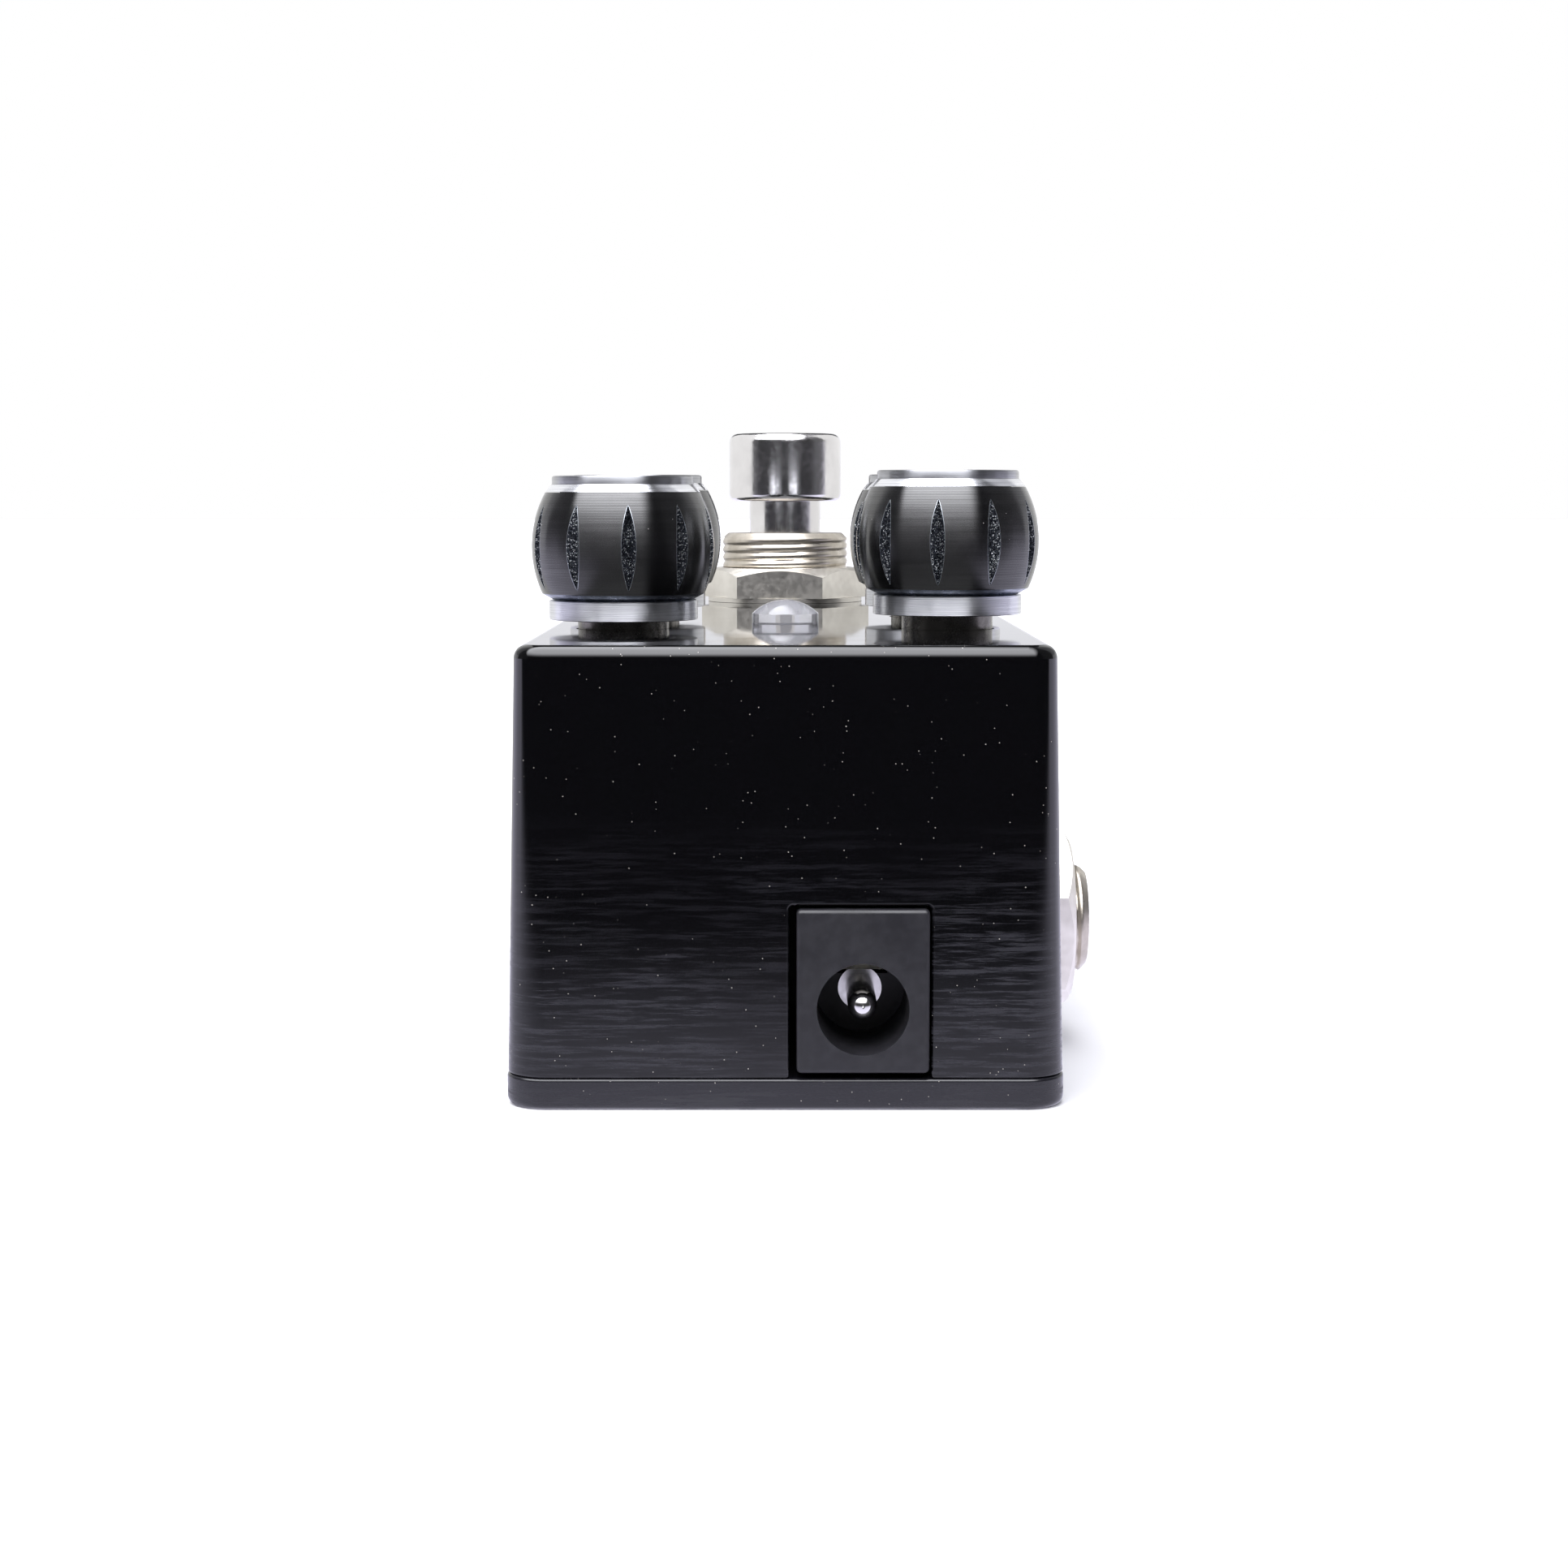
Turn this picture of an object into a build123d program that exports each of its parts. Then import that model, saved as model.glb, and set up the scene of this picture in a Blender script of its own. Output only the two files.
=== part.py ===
from build123d import *
import math
import os

# A mini guitar effects pedal: a die-cast aluminium box on a screwed base plate, with four knobs, a status lens
# and a latching foot switch on top, a power socket in the rear wall and a 6.35 mm jack in each side wall.
# The frame's origin is the centre of the base plate's underside. +Z is up, +X is right as seen from the rear
# (the power socket's side), and +Y runs from the rear wall towards the foot switch. All sizes are millimetres.

os.makedirs("parts", exist_ok=True)

# ---- Box and base plate
box_width = 38.9  # outside, at the seam between box and base plate
box_length = 92.6
box_height = 32.17  # floor to top face
seam_height = 2.22  # thickness of the base plate's edge
wall = 1.7
top_wall = 2.2
draft = 1.32  # degrees of casting draft on each side wall
corner_radius = 2.8
top_edge_radius = 0.95
base_edge_radius = 0.6
seam_radius = 0.22
rim_radius = 0.2
boss_radius = 3.1
boss_x = box_width / 2 - 4.2
boss_y = box_length / 2 - 4.2
screw_radius = 1.5
screw_head_radius = 3.0
screw_length = 9.0
thread_gap = 0.03  # threads are plain cylinders with this radial gap
lip_height = 1.0
lip_width = 1.4
lip_gap = 0.2

inner_width = box_width - 2 * wall
inner_length = box_length - 2 * wall
inner_top = box_height - top_wall
rear_y = -box_length / 2

# ---- Boards
board_thickness = 1.6
control_board_top = 22.82
control_board_bottom = control_board_top - board_thickness
control_board_rear = rear_y + 7.8
control_board_front = 18.5
control_board_width = 33.0

# ---- Power socket
dc_x = 5.35
dc_width = 9.2
dc_height = 11.43
dc_depth = 14.2
dc_bottom = 2.66
dc_axis_z = 7.14
dc_front = rear_y - 0.35
dc_bore_radius = 3.2
dc_bore_depth = 8.7
dc_pin_radius = 1.02
dc_pin_setback = 1.0
dc_top = dc_bottom + dc_height
cutout_left = 0.25
cutout_right = 10.1
cutout_top = 14.29

# ---- Audio jacks, one in each side wall
jack_z = 9.62
output_jack_y = rear_y + 24.5
input_jack_y = rear_y + 51.0
jack_body_width = 15.5
jack_body_height = 11.8
jack_body_front = 17.0  # distances along the jack's axis, from the pedal's centre plane
jack_body_back = -9.0
jack_bushing_back = 13.5
jack_bushing_front = box_width / 2 + 3.85
jack_bushing_radius = 4.1
jack_bore_radius = 3.25
jack_hole_radius = 4.25
jack_washer_radius = 6.7
jack_washer_start = box_width / 2 + 0.02
jack_washer_thickness = 0.6
jack_nut_across_flats = 12.7
jack_nut_thickness = 2.0
jack_nut_turn = 39.6  # degrees

# ---- Knobs and their potentiometers, numbered from the rear left
knob_x = 12.45
knob_rows = (rear_y + 24.3, rear_y + 44.3)
# where each knob stands: its x, y, the gap under its base ring and the angle of its flutes
knob_places = [
    (-knob_x, knob_rows[0], 0.72, 6.8),
    (knob_x, knob_rows[0], 1.15, -9.6),
    (-knob_x, knob_rows[1], 0.90, 16.0),
    (knob_x, knob_rows[1], 0.95, 2.0),
]
base_ring_radius = 5.7
base_ring_height = 1.48
barrel_radius = 7.0
barrel_bottom_radius = 6.24
barrel_top_radius = 5.95
barrel_bottom = 2.0
barrel_belly = 5.55  # height of the widest point
barrel_top = 9.68
barrel_neck_radius = 5.35
bezel_radius = 5.4
bezel_height = 1.27
bezel_inner_radius = 4.8
barrel_bore_radius = 4.52
barrel_bore_top = 9.0
hub_radius = 4.5
shaft_radius = 3.0
shaft_gap = 0.03
shaft_bore_top = 8.4
core_counterbore_radius = 3.9
core_counterbore_depth = 2.6
flute_count = 10
flute_width = 1.13
flute_root_radius = 6.378
set_screw_radius = 1.5
set_screw_z = 5.9
pot_bushing_radius = 3.5
pot_bushing_top = box_height + 2.3
pot_plate_bottom = 27.82
pot_width = 8.6
pot_length = 11.2
pot_pin_pitch = 2.5
pot_pin_offset = 4.2

# ---- Foot switch
switch_y = rear_y + 77.2
plunger_top = 48.17
plunger_cap_bottom = 41.77
plunger_cap_radius = 5.35
plunger_stem_radius = 3.4
plunger_stem_bottom = 27.42
switch_bushing_radius = 6.0
switch_bushing_top = 38.72
switch_frame_top = 25.42
switch_frame_thickness = 0.9
switch_body_width = 17.0
switch_body_bottom = 11.42
switch_nut_across_flats = 14.0
switch_nut_thickness = 2.8
switch_washer_thickness = 0.4
switch_washer_radius = 7.4
spring_bottom = 16.42
spring_radius = 2.5
spring_wire_radius = 0.25
spring_turns = 6
lug_pitch_x = 5.3
lug_pitch_y = 4.8
switch_board_bottom = 8.82
switch_board_thickness = 1.2

# ---- Status lens, among the four knobs and a little nearer the rear wall
lens_y = (knob_rows[0] + knob_rows[1]) / 2 - 2.4
lens_radius = 2.65
lens_top = box_height + 1.92
lens_dome_height = 1.1


def write(piece, node):
    """Labels a finished piece and writes its STEP file."""
    piece.part.label = node
    export_step(piece.part, f"parts/{node}.step")


def hexagon_nut(plane, across_flats, thickness, bore_radius, turn):
    """A nut that stands on the plane, with a 30 degree chamfer round its outer end."""
    corner = across_flats / math.sqrt(3)
    with BuildPart() as nut:
        with BuildSketch(plane):
            RegularPolygon(corner, 6, rotation=turn)
            Circle(bore_radius, mode=Mode.SUBTRACT)
        extrude(amount=thickness)
        chamfer_drop = (corner - across_flats / 2 * 0.95) * math.tan(math.radians(30))
        profile_plane = Plane(origin=plane.origin, x_dir=plane.x_dir, z_dir=-plane.y_dir)
        with BuildSketch(profile_plane):
            with BuildLine():
                Polyline(
                    (across_flats / 2 * 0.95, thickness),
                    (corner, thickness - chamfer_drop),
                    (corner + 1, thickness - chamfer_drop),
                    (corner + 1, thickness + 1),
                    (across_flats / 2 * 0.95, thickness + 1),
                    close=True,
                )
            make_face()
        revolve(axis=Axis(plane.origin, plane.z_dir), mode=Mode.SUBTRACT)
    return nut


# ======== Box ========

with BuildPart() as enclosure_shell:
    with BuildSketch(Plane.XY.offset(seam_height)):
        RectangleRounded(box_width, box_length, corner_radius)
    extrude(amount=box_height - seam_height, taper=draft)
    fillet(enclosure_shell.faces().sort_by(Axis.Z)[-1].edges(), top_edge_radius)
    with BuildSketch(Plane.XY.offset(seam_height)):
        RectangleRounded(inner_width, inner_length, corner_radius - wall + 0.5)
    extrude(amount=inner_top - seam_height, taper=draft, mode=Mode.SUBTRACT)
    # corner bosses, tapped from below for the base plate's screws
    with BuildSketch(Plane.XY.offset(seam_height)):
        with GridLocations(2 * boss_x, 2 * boss_y, 2, 2):
            Circle(boss_radius)
    extrude(amount=inner_top - seam_height)
    with BuildSketch(Plane.XY.offset(seam_height)):
        with GridLocations(2 * boss_x, 2 * boss_y, 2, 2):
            Circle(screw_radius + thread_gap)
    extrude(amount=screw_length + 1, mode=Mode.SUBTRACT)
    # top face: four potentiometers, the status lens and the foot switch
    with BuildSketch(Plane.XY.offset(inner_top)):
        for x, y, _, _ in knob_places:
            with Locations((x, y)):
                Circle(pot_bushing_radius + 0.15)
        with Locations((0, lens_y)):
            Circle(lens_radius + 0.05)
        with Locations((0, switch_y)):
            Circle(switch_bushing_radius + 0.1)
    extrude(amount=top_wall, mode=Mode.SUBTRACT)
    # side walls: one jack hole each
    for side, y in ((1, output_jack_y), (-1, input_jack_y)):
        with BuildSketch(Plane.YZ.offset(side * jack_body_front)):
            with Locations((y, jack_z)):
                Circle(jack_hole_radius)
        extrude(amount=side * 3, mode=Mode.SUBTRACT)
    # the seam's edge is slightly eased
    seam_edges = enclosure_shell.edges().group_by(Axis.Z)[0]
    seam_outline = [e for e in seam_edges if max(abs(e.center().X) / box_width, abs(e.center().Y) / box_length) > 0.46]
    fillet(seam_outline, seam_radius)
    # rear wall: the power socket's cutout, open at the seam, with an eased rim
    with BuildSketch(Plane.XZ.offset(-rear_y - wall - 1)):
        with BuildLine():
            FilletPolyline(
                (cutout_left, seam_height - 1),
                (cutout_left, cutout_top),
                (cutout_right, cutout_top),
                (cutout_right, seam_height - 1),
                close=True,
                radius=0.35,
            )
        make_face()
    extrude(amount=wall + 3, mode=Mode.SUBTRACT)
    rim_top = cutout_top + 0.1
    rim_edges = [
        e
        for e in enclosure_shell.edges()
        if e.center().Y < rear_y + 0.6
        and cutout_left - 0.1 < e.center().X < cutout_right + 0.1
        and seam_height + 1 < e.center().Z < rim_top
    ]
    fillet(rim_edges, rim_radius)
write(enclosure_shell, "enclosure_shell")

with BuildPart() as base_plate:
    with BuildSketch():
        RectangleRounded(box_width + 0.1, box_length + 0.1, corner_radius)
    extrude(amount=seam_height)
    fillet(base_plate.faces().sort_by(Axis.Z)[0].edges(), base_edge_radius)
    fillet(base_plate.faces().sort_by(Axis.Z)[-1].edges(), seam_radius)
    # locating lip inside the box's wall, broken at the bosses and at the power socket
    with BuildSketch(Plane.XY.offset(seam_height)):
        lip_outer = (inner_width - 2 * lip_gap, inner_length - 2 * lip_gap)
        RectangleRounded(*lip_outer, corner_radius - wall + 0.3)
        Rectangle(lip_outer[0] - 2 * lip_width, lip_outer[1] - 2 * lip_width, mode=Mode.SUBTRACT)
        with GridLocations(2 * boss_x, 2 * boss_y, 2, 2):
            Rectangle(2 * boss_radius + 2.6, 2 * boss_radius + 2.6, mode=Mode.SUBTRACT)
        with Locations((dc_x, rear_y + wall)):
            Rectangle(dc_width + 1.2, 8, mode=Mode.SUBTRACT)
    extrude(amount=lip_height)
    with Locations(Plane(origin=(0, 0, 0), z_dir=(0, 0, -1))):
        with GridLocations(2 * boss_x, 2 * boss_y, 2, 2):
            CounterSinkHole(
                radius=screw_radius + 0.2,
                counter_sink_radius=screw_head_radius + 0.15,
                depth=seam_height,
                counter_sink_angle=90,
            )
write(base_plate, "base_plate")

with BuildPart() as base_screw:
    with BuildSketch(Plane.XZ):
        with BuildLine():
            Polyline(
                (0, 0.1),
                (screw_head_radius, 0.1),
                (screw_radius, screw_head_radius - screw_radius + 0.1),
                (screw_radius, screw_length - 0.5),
                (screw_radius - 0.5, screw_length),
                (0, screw_length),
                close=True,
            )
        make_face()
    revolve(axis=Axis.Z)
    with BuildSketch(Plane.XY.offset(0.1)):
        Rectangle(3.2, 0.6)
        Rectangle(0.6, 3.2)
    extrude(amount=1.1, mode=Mode.SUBTRACT)

with BuildPart() as base_screws:
    with GridLocations(2 * boss_x, 2 * boss_y, 2, 2):
        add(base_screw.part)
write(base_screws, "base_screws")

# ======== Power socket ========

with BuildPart() as dc_jack_housing:
    with BuildSketch(Plane.XZ.offset(-dc_front)):
        with Locations((dc_x, dc_bottom + dc_height / 2)):
            RectangleRounded(dc_width, dc_height, 0.35)
    extrude(amount=-dc_depth)
    fillet(dc_jack_housing.faces().sort_by(Axis.Y)[0].edges(), 0.3)
    with BuildSketch(Plane.XZ.offset(-dc_front)):
        with Locations((dc_x, dc_axis_z)):
            Circle(dc_bore_radius)
    extrude(amount=-dc_bore_depth, mode=Mode.SUBTRACT)
    with BuildSketch(Plane.XZ.offset(-dc_front)):
        with Locations((dc_x, dc_axis_z)):
            Circle(dc_pin_radius + 0.01)
    extrude(amount=-dc_depth, mode=Mode.SUBTRACT)
    # chamber over the bore for the sleeve contact
    with BuildSketch(Plane.XZ.offset(-dc_front - 1.6)):
        with Locations((dc_x, dc_axis_z + 3.4)):
            Rectangle(4.0, 4.8)
    extrude(amount=-10.6, mode=Mode.SUBTRACT)
write(dc_jack_housing, "dc_jack_housing")

with BuildPart() as dc_jack_pin:
    with BuildSketch(Plane.YZ.offset(dc_x)):
        pin_tip = dc_front + dc_pin_setback
        bore_end = dc_front + dc_bore_depth
        with BuildLine():
            Line((pin_tip, dc_axis_z), (bore_end + 4, dc_axis_z))
            Line((bore_end + 4, dc_axis_z), (bore_end + 4, dc_axis_z + dc_pin_radius))
            Line((bore_end + 4, dc_axis_z + dc_pin_radius), (bore_end, dc_axis_z + dc_pin_radius))
            Line((bore_end, dc_axis_z + dc_pin_radius), (bore_end, dc_axis_z + 1.57))
            Line((bore_end, dc_axis_z + 1.57), (bore_end - 0.3, dc_axis_z + 1.57))
            Line((bore_end - 0.3, dc_axis_z + 1.57), (bore_end - 0.3, dc_axis_z + dc_pin_radius))
            Line((bore_end - 0.3, dc_axis_z + dc_pin_radius), (pin_tip + dc_pin_radius, dc_axis_z + dc_pin_radius))
            RadiusArc(
                (pin_tip + dc_pin_radius, dc_axis_z + dc_pin_radius), (pin_tip, dc_axis_z), -dc_pin_radius
            )
        make_face()
    revolve(axis=Axis((dc_x, 0, dc_axis_z), (0, 1, 0)))
write(dc_jack_pin, "dc_jack_pin")

with BuildPart() as dc_jack_contact:
    # a leaf that dips to rub on the plug's sleeve
    with BuildSketch(Plane.YZ.offset(dc_x - 1.6)):
        with BuildLine():
            Polyline(
                (dc_front + 3.0, dc_axis_z + 3.4),
                (dc_front + 5.0, dc_axis_z + 1.95),
                (dc_front + 6.0, dc_axis_z + 1.95),
                (dc_front + 11.4, dc_axis_z + 4.6),
                (dc_front + 11.4, dc_axis_z + 4.9),
                (dc_front + 6.0, dc_axis_z + 2.25),
                (dc_front + 5.0, dc_axis_z + 2.25),
                (dc_front + 3.0, dc_axis_z + 3.7),
                close=True,
            )
        make_face()
    extrude(amount=3.2)
write(dc_jack_contact, "dc_jack_contact")

power_board_bottom = dc_top + 0.05
dc_tag_places = [(dc_x, dc_front + 13.2), (dc_x + 3.4, dc_front + 8.0), (dc_x, dc_front + 7.6)]
power_board_rear = dc_front + 3.0
power_board_front = dc_front + 16.0

with BuildPart() as dc_jack_tags:
    for x, y in dc_tag_places:
        with Locations((x, y, power_board_bottom)):
            Box(1.6, 0.4, 2.6, align=(Align.CENTER, Align.CENTER, Align.MIN))
write(dc_jack_tags, "dc_jack_tags")

with BuildPart() as power_board:
    with BuildSketch(Plane.XY.offset(power_board_bottom)):
        with Locations((dc_x - 1.5, (power_board_rear + power_board_front) / 2)):
            Rectangle(14.0, power_board_front - power_board_rear)
        for x, y in dc_tag_places:
            with Locations((x, y)):
                Rectangle(1.8, 0.6, mode=Mode.SUBTRACT)
        with Locations((dc_x - 7.2, (power_board_rear + power_board_front) / 2)):
            with GridLocations(0, 2.54, 1, 4):
                Circle(0.5, mode=Mode.SUBTRACT)
    extrude(amount=board_thickness)
write(power_board, "power_board")

# ======== Audio jacks ========


def jack_plane(side, y):
    """A plane across the jack's axis on the pedal's centre plane: local x along Y, local y up, normal outwards."""
    return Plane(origin=(0, y, jack_z), x_dir=(0, side, 0), z_dir=(side, 0, 0))


def audio_jack(side, y, name):
    """The pieces of one jack, on the side wall at +X (side 1) or -X (side -1)."""
    across = jack_plane(side, y)

    with BuildPart() as body:
        with BuildSketch(across.offset(jack_body_back)):
            RectangleRounded(jack_body_width, jack_body_height, 0.8)
        extrude(amount=jack_body_front - jack_body_back)
        with BuildSketch(across.offset(jack_body_back + 1)):
            Rectangle(jack_body_width - 2.6, jack_body_height - 2.6)
        extrude(amount=jack_bushing_back - jack_body_back - 1, mode=Mode.SUBTRACT)
        with BuildSketch(across.offset(jack_bushing_back)):
            Circle(jack_bushing_radius + 0.02)
        extrude(amount=jack_body_front - jack_bushing_back, mode=Mode.SUBTRACT)
        # slots in the top for the contacts' lugs
        for distance in (jack_body_back + 3, jack_bushing_back - 3):
            with Locations((side * distance, y, jack_z + jack_body_height / 2 - 1)):
                Box(0.8, 2.6, 4, mode=Mode.SUBTRACT)
    write(body, f"{name}_body")

    with BuildPart() as bushing:
        with BuildSketch(across.offset(jack_bushing_back)):
            Circle(jack_bushing_radius)
        extrude(amount=jack_bushing_front - jack_bushing_back)
        chamfer(bushing.faces().sort_by(Axis.X)[-1 if side > 0 else 0].edges(), 0.5)
        with BuildSketch(across.offset(jack_bushing_back)):
            Circle(jack_bore_radius)
        extrude(amount=jack_bushing_front - jack_bushing_back, mode=Mode.SUBTRACT)
    write(bushing, f"{name}_bushing")

    with BuildPart() as washer:
        with BuildSketch(across.offset(jack_washer_start)):
            Circle(jack_washer_radius)
            Circle(jack_bushing_radius + thread_gap, mode=Mode.SUBTRACT)
        extrude(amount=jack_washer_thickness)
        chamfer(washer.edges().filter_by(GeomType.CIRCLE).sort_by(SortBy.LENGTH)[-2:], 0.12)
    write(washer, f"{name}_washer")

    nut = hexagon_nut(
        across.offset(jack_washer_start + jack_washer_thickness),
        jack_nut_across_flats,
        jack_nut_thickness,
        jack_bushing_radius + thread_gap,
        jack_nut_turn,
    )
    write(nut, f"{name}_nut")

    with BuildPart() as contacts:
        # the tip's leaf hooks over the plug's tip, and the sleeve's lug rests on the bushing
        leaf_end = jack_body_back + 3
        with BuildSketch(Plane(origin=(0, y, jack_z), x_dir=(side, 0, 0), z_dir=(0, -side, 0)).offset(-1.2)):
            with BuildLine():
                Polyline(
                    (leaf_end - 0.2, 8.6),
                    (leaf_end - 0.2, 4.0),
                    (leaf_end + 4.0, 2.2),
                    (leaf_end + 6.0, 3.4),
                    (leaf_end + 6.0, 3.8),
                    (leaf_end + 4.0, 2.6),
                    (leaf_end + 0.2, 4.3),
                    (leaf_end + 0.2, 8.6),
                    close=True,
                )
            make_face()
        extrude(amount=2.4)
        lug = jack_bushing_back - 3
        with Locations((side * lug, y, jack_z + 6.3)):
            Box(0.4, 2.4, 4.6)
    write(contacts, f"{name}_contacts")


audio_jack(1, output_jack_y, "output_jack")
audio_jack(-1, input_jack_y, "input_jack")

# ======== Potentiometers ========

pot_places = [(x, y) for x, y, _, _ in knob_places]

with BuildPart() as pot_bushings:
    with Locations(*[(x, y, 0) for x, y in pot_places]):
        with Locations((0, 0, pot_plate_bottom)):
            Box(pot_width, pot_length, inner_top - 0.05 - pot_plate_bottom, align=(Align.CENTER, Align.CENTER, Align.MIN))
    with BuildSketch(Plane.XY.offset(inner_top - 0.05)):
        with Locations(*pot_places):
            Circle(pot_bushing_radius)
    extrude(amount=pot_bushing_top - inner_top + 0.05)
    chamfer(pot_bushings.faces().group_by(Axis.Z)[-1].edges(), 0.3)
    with BuildSketch(Plane.XY.offset(pot_plate_bottom)):
        with Locations(*pot_places):
            Circle(shaft_radius + shaft_gap)
    extrude(amount=pot_bushing_top - pot_plate_bottom, mode=Mode.SUBTRACT)
write(pot_bushings, "pot_bushings")

with BuildPart() as pot_bases:
    with BuildSketch(Plane.XY.offset(control_board_top + 0.02)):
        with Locations(*pot_places):
            Rectangle(pot_width, pot_length)
    extrude(amount=pot_plate_bottom - control_board_top - 0.04)
    # round chamber for the wiper
    with BuildSketch(Plane.XY.offset(control_board_top + 1.2)):
        with Locations(*pot_places):
            Circle(3.95)
    extrude(amount=pot_plate_bottom - control_board_top, mode=Mode.SUBTRACT)
write(pot_bases, "pot_bases")

pot_pin_y = -pot_pin_offset
with BuildPart() as pot_terminals:
    for x, y in pot_places:
        with Locations((x, y + pot_pin_y, control_board_bottom - 1.0)):
            with GridLocations(pot_pin_pitch, 0, 3, 1):
                Box(0.8, 0.3, 2.6, align=(Align.CENTER, Align.CENTER, Align.MIN))
write(pot_terminals, "pot_terminals")

# ======== Knobs ========

def knob(number, x, y, gap, turn):
    """One knob with its potentiometer's shaft. turn is the angle of the flute nearest the rear, in degrees."""
    foot = box_height + gap
    base = Plane(origin=(x, y, foot))
    upright = Plane(origin=(x, y, foot), x_dir=(1, 0, 0), z_dir=(0, -1, 0))
    axis = Axis((x, y, 0), (0, 0, 1))
    # the set screw sits in the land behind the knob, half a flute's spacing off
    screw_angle = -90 + turn + 180 + 180 / flute_count
    screw_direction = (math.cos(math.radians(screw_angle)), math.sin(math.radians(screw_angle)), 0)
    screw_plane = Plane(origin=(x, y, foot + set_screw_z), x_dir=(0, 0, 1), z_dir=screw_direction)
    flat_distance = shaft_radius - 0.8

    with BuildPart() as core:
        with BuildSketch(upright):
            with BuildLine():
                Polyline(
                    (0, 0),
                    (base_ring_radius - 0.15, 0),
                    (base_ring_radius, 0.15),
                    (base_ring_radius, base_ring_height - 0.15),
                    (base_ring_radius - 0.15, base_ring_height),
                    (hub_radius, base_ring_height),
                    (hub_radius, barrel_bore_top - 0.05),
                    (0, barrel_bore_top - 0.05),
                    close=True,
                )
            make_face()
        revolve(axis=axis)
        with BuildSketch(base):
            Circle(core_counterbore_radius)
        extrude(amount=core_counterbore_depth, mode=Mode.SUBTRACT)
        with BuildSketch(base):
            Circle(shaft_radius + 0.02)
        extrude(amount=shaft_bore_top, mode=Mode.SUBTRACT)
        with BuildSketch(screw_plane):
            Circle(set_screw_radius + thread_gap)
        extrude(amount=barrel_radius, mode=Mode.SUBTRACT)
    write(core, f"knob_core_{number}")

    with BuildPart() as barrel:
        with BuildSketch(upright):
            with BuildLine():
                Polyline(
                    (0, barrel_bore_top),
                    (barrel_bore_radius, barrel_bore_top),
                    (barrel_bore_radius, base_ring_height + 0.02),
                    (barrel_neck_radius, base_ring_height + 0.02),
                    (barrel_bottom_radius, barrel_bottom),
                )
                ThreePointArc(
                    (barrel_bottom_radius, barrel_bottom),
                    (barrel_radius, barrel_belly),
                    (barrel_top_radius, barrel_top),
                )
                Polyline(
                    (barrel_top_radius, barrel_top),
                    (bezel_inner_radius, barrel_top),
                    (bezel_inner_radius, barrel_top + bezel_height - 0.35),
                    (0, barrel_top + bezel_height - 0.35),
                    (0, barrel_bore_top),
                )
            make_face()
        revolve(axis=axis)
        # flutes: V grooves parallel to the axis, which the barrel's curve turns into pointed ovals
        with BuildSketch(base.offset(base_ring_height)):
            with PolarLocations(0, flute_count, start_angle=-90 + turn):
                with BuildLine(mode=Mode.PRIVATE) as groove:
                    half = flute_width / 2 * 2
                    Polyline(
                        (flute_root_radius, 0),
                        (flute_root_radius + 2 * (barrel_radius - flute_root_radius), half),
                        (flute_root_radius + 2 * (barrel_radius - flute_root_radius), -half),
                        close=True,
                    )
                add(make_face(groove.edges(), mode=Mode.PRIVATE))
        extrude(amount=barrel_top - base_ring_height, mode=Mode.SUBTRACT)
        with BuildSketch(screw_plane):
            Circle(set_screw_radius + thread_gap)
        extrude(amount=barrel_radius + 1, mode=Mode.SUBTRACT)
        # indicator groove across the front half of the top
        with BuildSketch(base.offset(barrel_top + bezel_height - 0.35)):
            with Locations((0, -2.6)):
                SlotOverall(3.6, 0.7, rotation=90)
        extrude(amount=-0.25, mode=Mode.SUBTRACT)
    write(barrel, f"knob_barrel_{number}")

    with BuildPart() as bezel:
        with BuildSketch(upright):
            with BuildLine():
                Polyline(
                    (bezel_inner_radius + 0.02, barrel_top + 0.02),
                    (barrel_top_radius - 0.03, barrel_top + 0.02),
                    (bezel_radius + 0.05, barrel_top + 0.55),
                    (bezel_radius, barrel_top + 0.6),
                    (bezel_radius, barrel_top + bezel_height - 0.12),
                    (bezel_radius - 0.12, barrel_top + bezel_height),
                    (bezel_inner_radius + 0.15, barrel_top + bezel_height),
                    (bezel_inner_radius + 0.02, barrel_top + bezel_height - 0.13),
                    close=True,
                )
            make_face()
        revolve(axis=axis)
    write(bezel, f"knob_bezel_{number}")

    with BuildPart() as set_screw:
        with BuildSketch(screw_plane.offset(flat_distance + 0.02)):
            Circle(set_screw_radius)
        extrude(amount=barrel_radius - flat_distance - 0.9)
        with BuildSketch(screw_plane.offset(barrel_radius - 0.88 - 1.2)):
            RegularPolygon(0.75, 6)
        extrude(amount=1.3, mode=Mode.SUBTRACT)
    write(set_screw, f"knob_set_screw_{number}")

    shaft_top = foot + shaft_bore_top - 0.1
    with BuildPart() as shaft:
        with BuildSketch(Plane(origin=(x, y, control_board_top + 1.3))):
            Circle(3.8)
        extrude(amount=1.2)
        with BuildSketch(Plane(origin=(x, y, control_board_top + 1.3))):
            Circle(shaft_radius)
        extrude(amount=shaft_top - control_board_top - 1.3)
        # flat for the set screw
        with BuildSketch(screw_plane.offset(flat_distance)):
            Rectangle(2 * (shaft_top - foot - set_screw_z) + 3, 2 * shaft_radius)
        extrude(amount=shaft_radius, mode=Mode.SUBTRACT)
    write(shaft, f"pot_shaft_{number}")


for number, place in enumerate(knob_places, start=1):
    knob(number, *place)

# ======== Foot switch ========

switch_floor = Plane(origin=(0, switch_y, 0))

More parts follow.
